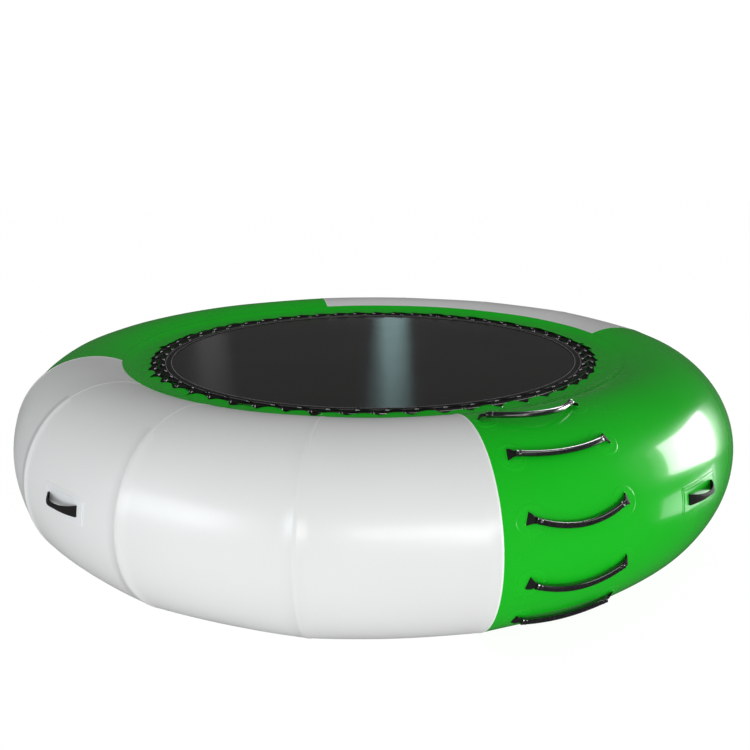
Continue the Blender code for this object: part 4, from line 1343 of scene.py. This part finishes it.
def makeStrap(number, frame):
    shape = handleShape
    dip = shape["dip"]

    def rule(u, v):
        share = math.sin(math.pi / 2 * min(1.0, abs(v) / dip))
        arch = shape["rise"] * (1 - share ** shape["archPower"])
        depth = max(0.0, abs(v) - dip) / (1 - dip) * shape["sink"]
        middle = 1 - share ** 2
        width = shape["width"] - (shape["width"] - shape["waist"]) * middle
        droop = Matrix.Rotation(math.radians(shape["droop"]) * min(1.0, arch / shape["rise"] * 1.2), 3, "X")
        point = Vector((0, u * width / 2, arch - depth - shape["cup"] * middle * u * u))
        turned = droop @ point
        return frame @ Vector((math.copysign(share, v) * shape["half"], turned.y, turned.z))

    strap = strip(f"strap_{number}", 10, 44, rule)
    webbingStrap(strap, shape["strap"], shape["strapEdge"])
    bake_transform(strap)
    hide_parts(f"handle_{number}")


def makeHandles():
    for number in range(1, handleShape["count"] + 1):
        frame = hingeFrame(f"handle_{number}_swing")
        seat = skinFrame(azimuthOf(frame.translation), sectionOf(frame.translation))
        makeHandlePatch(number, seat)
        makeStrap(number, frame)


makeHandles()
print("handles done")


# Mooring rings, low on the wall that faces the well

mooringShape = {"count": 4, "bar": 0.044, "reach": 0.034, "bend": 0.007, "wire": 0.006, "tilt": 4.0,
                "patch": 0.060, "strap": 0.026, "strapThick": 0.0022, "strapEdge": 0.0006, "wallCurve": 0.84}
# share, y, z of the strap that holds the bar
mooringStrap = ((0.00, 0.0, 0.0046), (0.14, 0.0036, 0.0034), (0.28, 0.0056, 0.0), (0.42, 0.0085, -0.0058),
                (0.55, 0.0130, -0.0072), (1.00, 0.0340, -0.0078))


def mooringPath(frame):
    shape = mooringShape
    half, bend = shape["bar"] / 2, shape["bend"]
    points = [(half - bend + bend * math.sin(a), bend - bend * math.cos(a)) for a in (0.0, 0.5, 1.05)]
    for i in range(13):
        angle = math.pi * i / 12
        points.append((half * math.cos(angle), bend + (shape["reach"] - bend) * math.sin(angle)))
    points += [(-x, y) for x, y in points[2::-1]]
    tilt = Matrix.Rotation(-math.radians(shape["tilt"]), 4, "X")
    return [frame @ tilt @ Vector((x, -y, 0.0)) for x, y in points]


def makeMooring():
    shape = mooringShape
    for number in range(1, shape["count"] + 1):
        frame = hingeFrame(f"anchor_ring_{number}_swing")
        path = smoothPath(mooringPath(frame), 2, loop=True)
        ring = cordAlong(f"ring_{number}", path, shape["wire"], 3, loop=True)
        smooth(ring, 60.0)
        dress(ring, steel)
        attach(ring, f"anchor_ring_{number}")
        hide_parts(f"anchor_ring_{number}")
        seat = skinFrame(azimuthOf(frame.translation), sectionOf(frame.translation))
        patch = roundPatch(f"mooring_patch_{number}", shape["patch"], seat)
        smooth(patch, 40.0)
        dress(patch, blackPatch)
        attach(patch, "tube")
        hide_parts(f"anchor_patch_{number}")

        def rule(u, v):
            y, z = between(mooringStrap, abs(v))
            z -= y * y / shape["wallCurve"]
            return frame @ Vector((u * shape["strap"] / 2, math.copysign(y, v), z))

        strap = strip(f"mooring_strap_{number}", 6, 30, rule)
        webbingStrap(strap, shape["strapThick"], shape["strapEdge"])
        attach(strap, "tube")
        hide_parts(f"anchor_patch_{number}")


makeMooring()
print("mooring rings done")


# The valve: a steel spring along the plunger's axis, and the moulded parts are the CAD nodes

springShape = {"radius": 0.0055, "wire": 0.001, "turns": 4, "steps": 16, "low": -0.0112, "high": 0.0022}


def makeSpring():
    shape = springShape
    out = -Vector(joints["valve_plunger_press"]["axis"])
    foot = Vector(joints["valve_cap_turn"]["pos_m"]) + out * shape["low"]
    head = foot + out * (shape["high"] - shape["low"])
    side = out.cross(Vector((0, 0, 1))).normalized() * shape["radius"]
    last = shape["turns"] * shape["steps"]
    path = [foot.lerp(head, i / last) + Matrix.Rotation(2 * math.pi * i / shape["steps"], 3, out) @ side
            for i in range(last + 1)]
    spring = cordAlong("spring", path, shape["wire"], 2)
    smooth(spring, 60.0)
    dress(spring, steel)
    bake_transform(spring)
    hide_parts("valve_spring")


makeSpring()
for node in ("valve_body", "valve_plunger", "valve_cap"):
    dress(bpy.data.objects[node], valvePlastic)
print("valve done")

scrap(skinGuide)
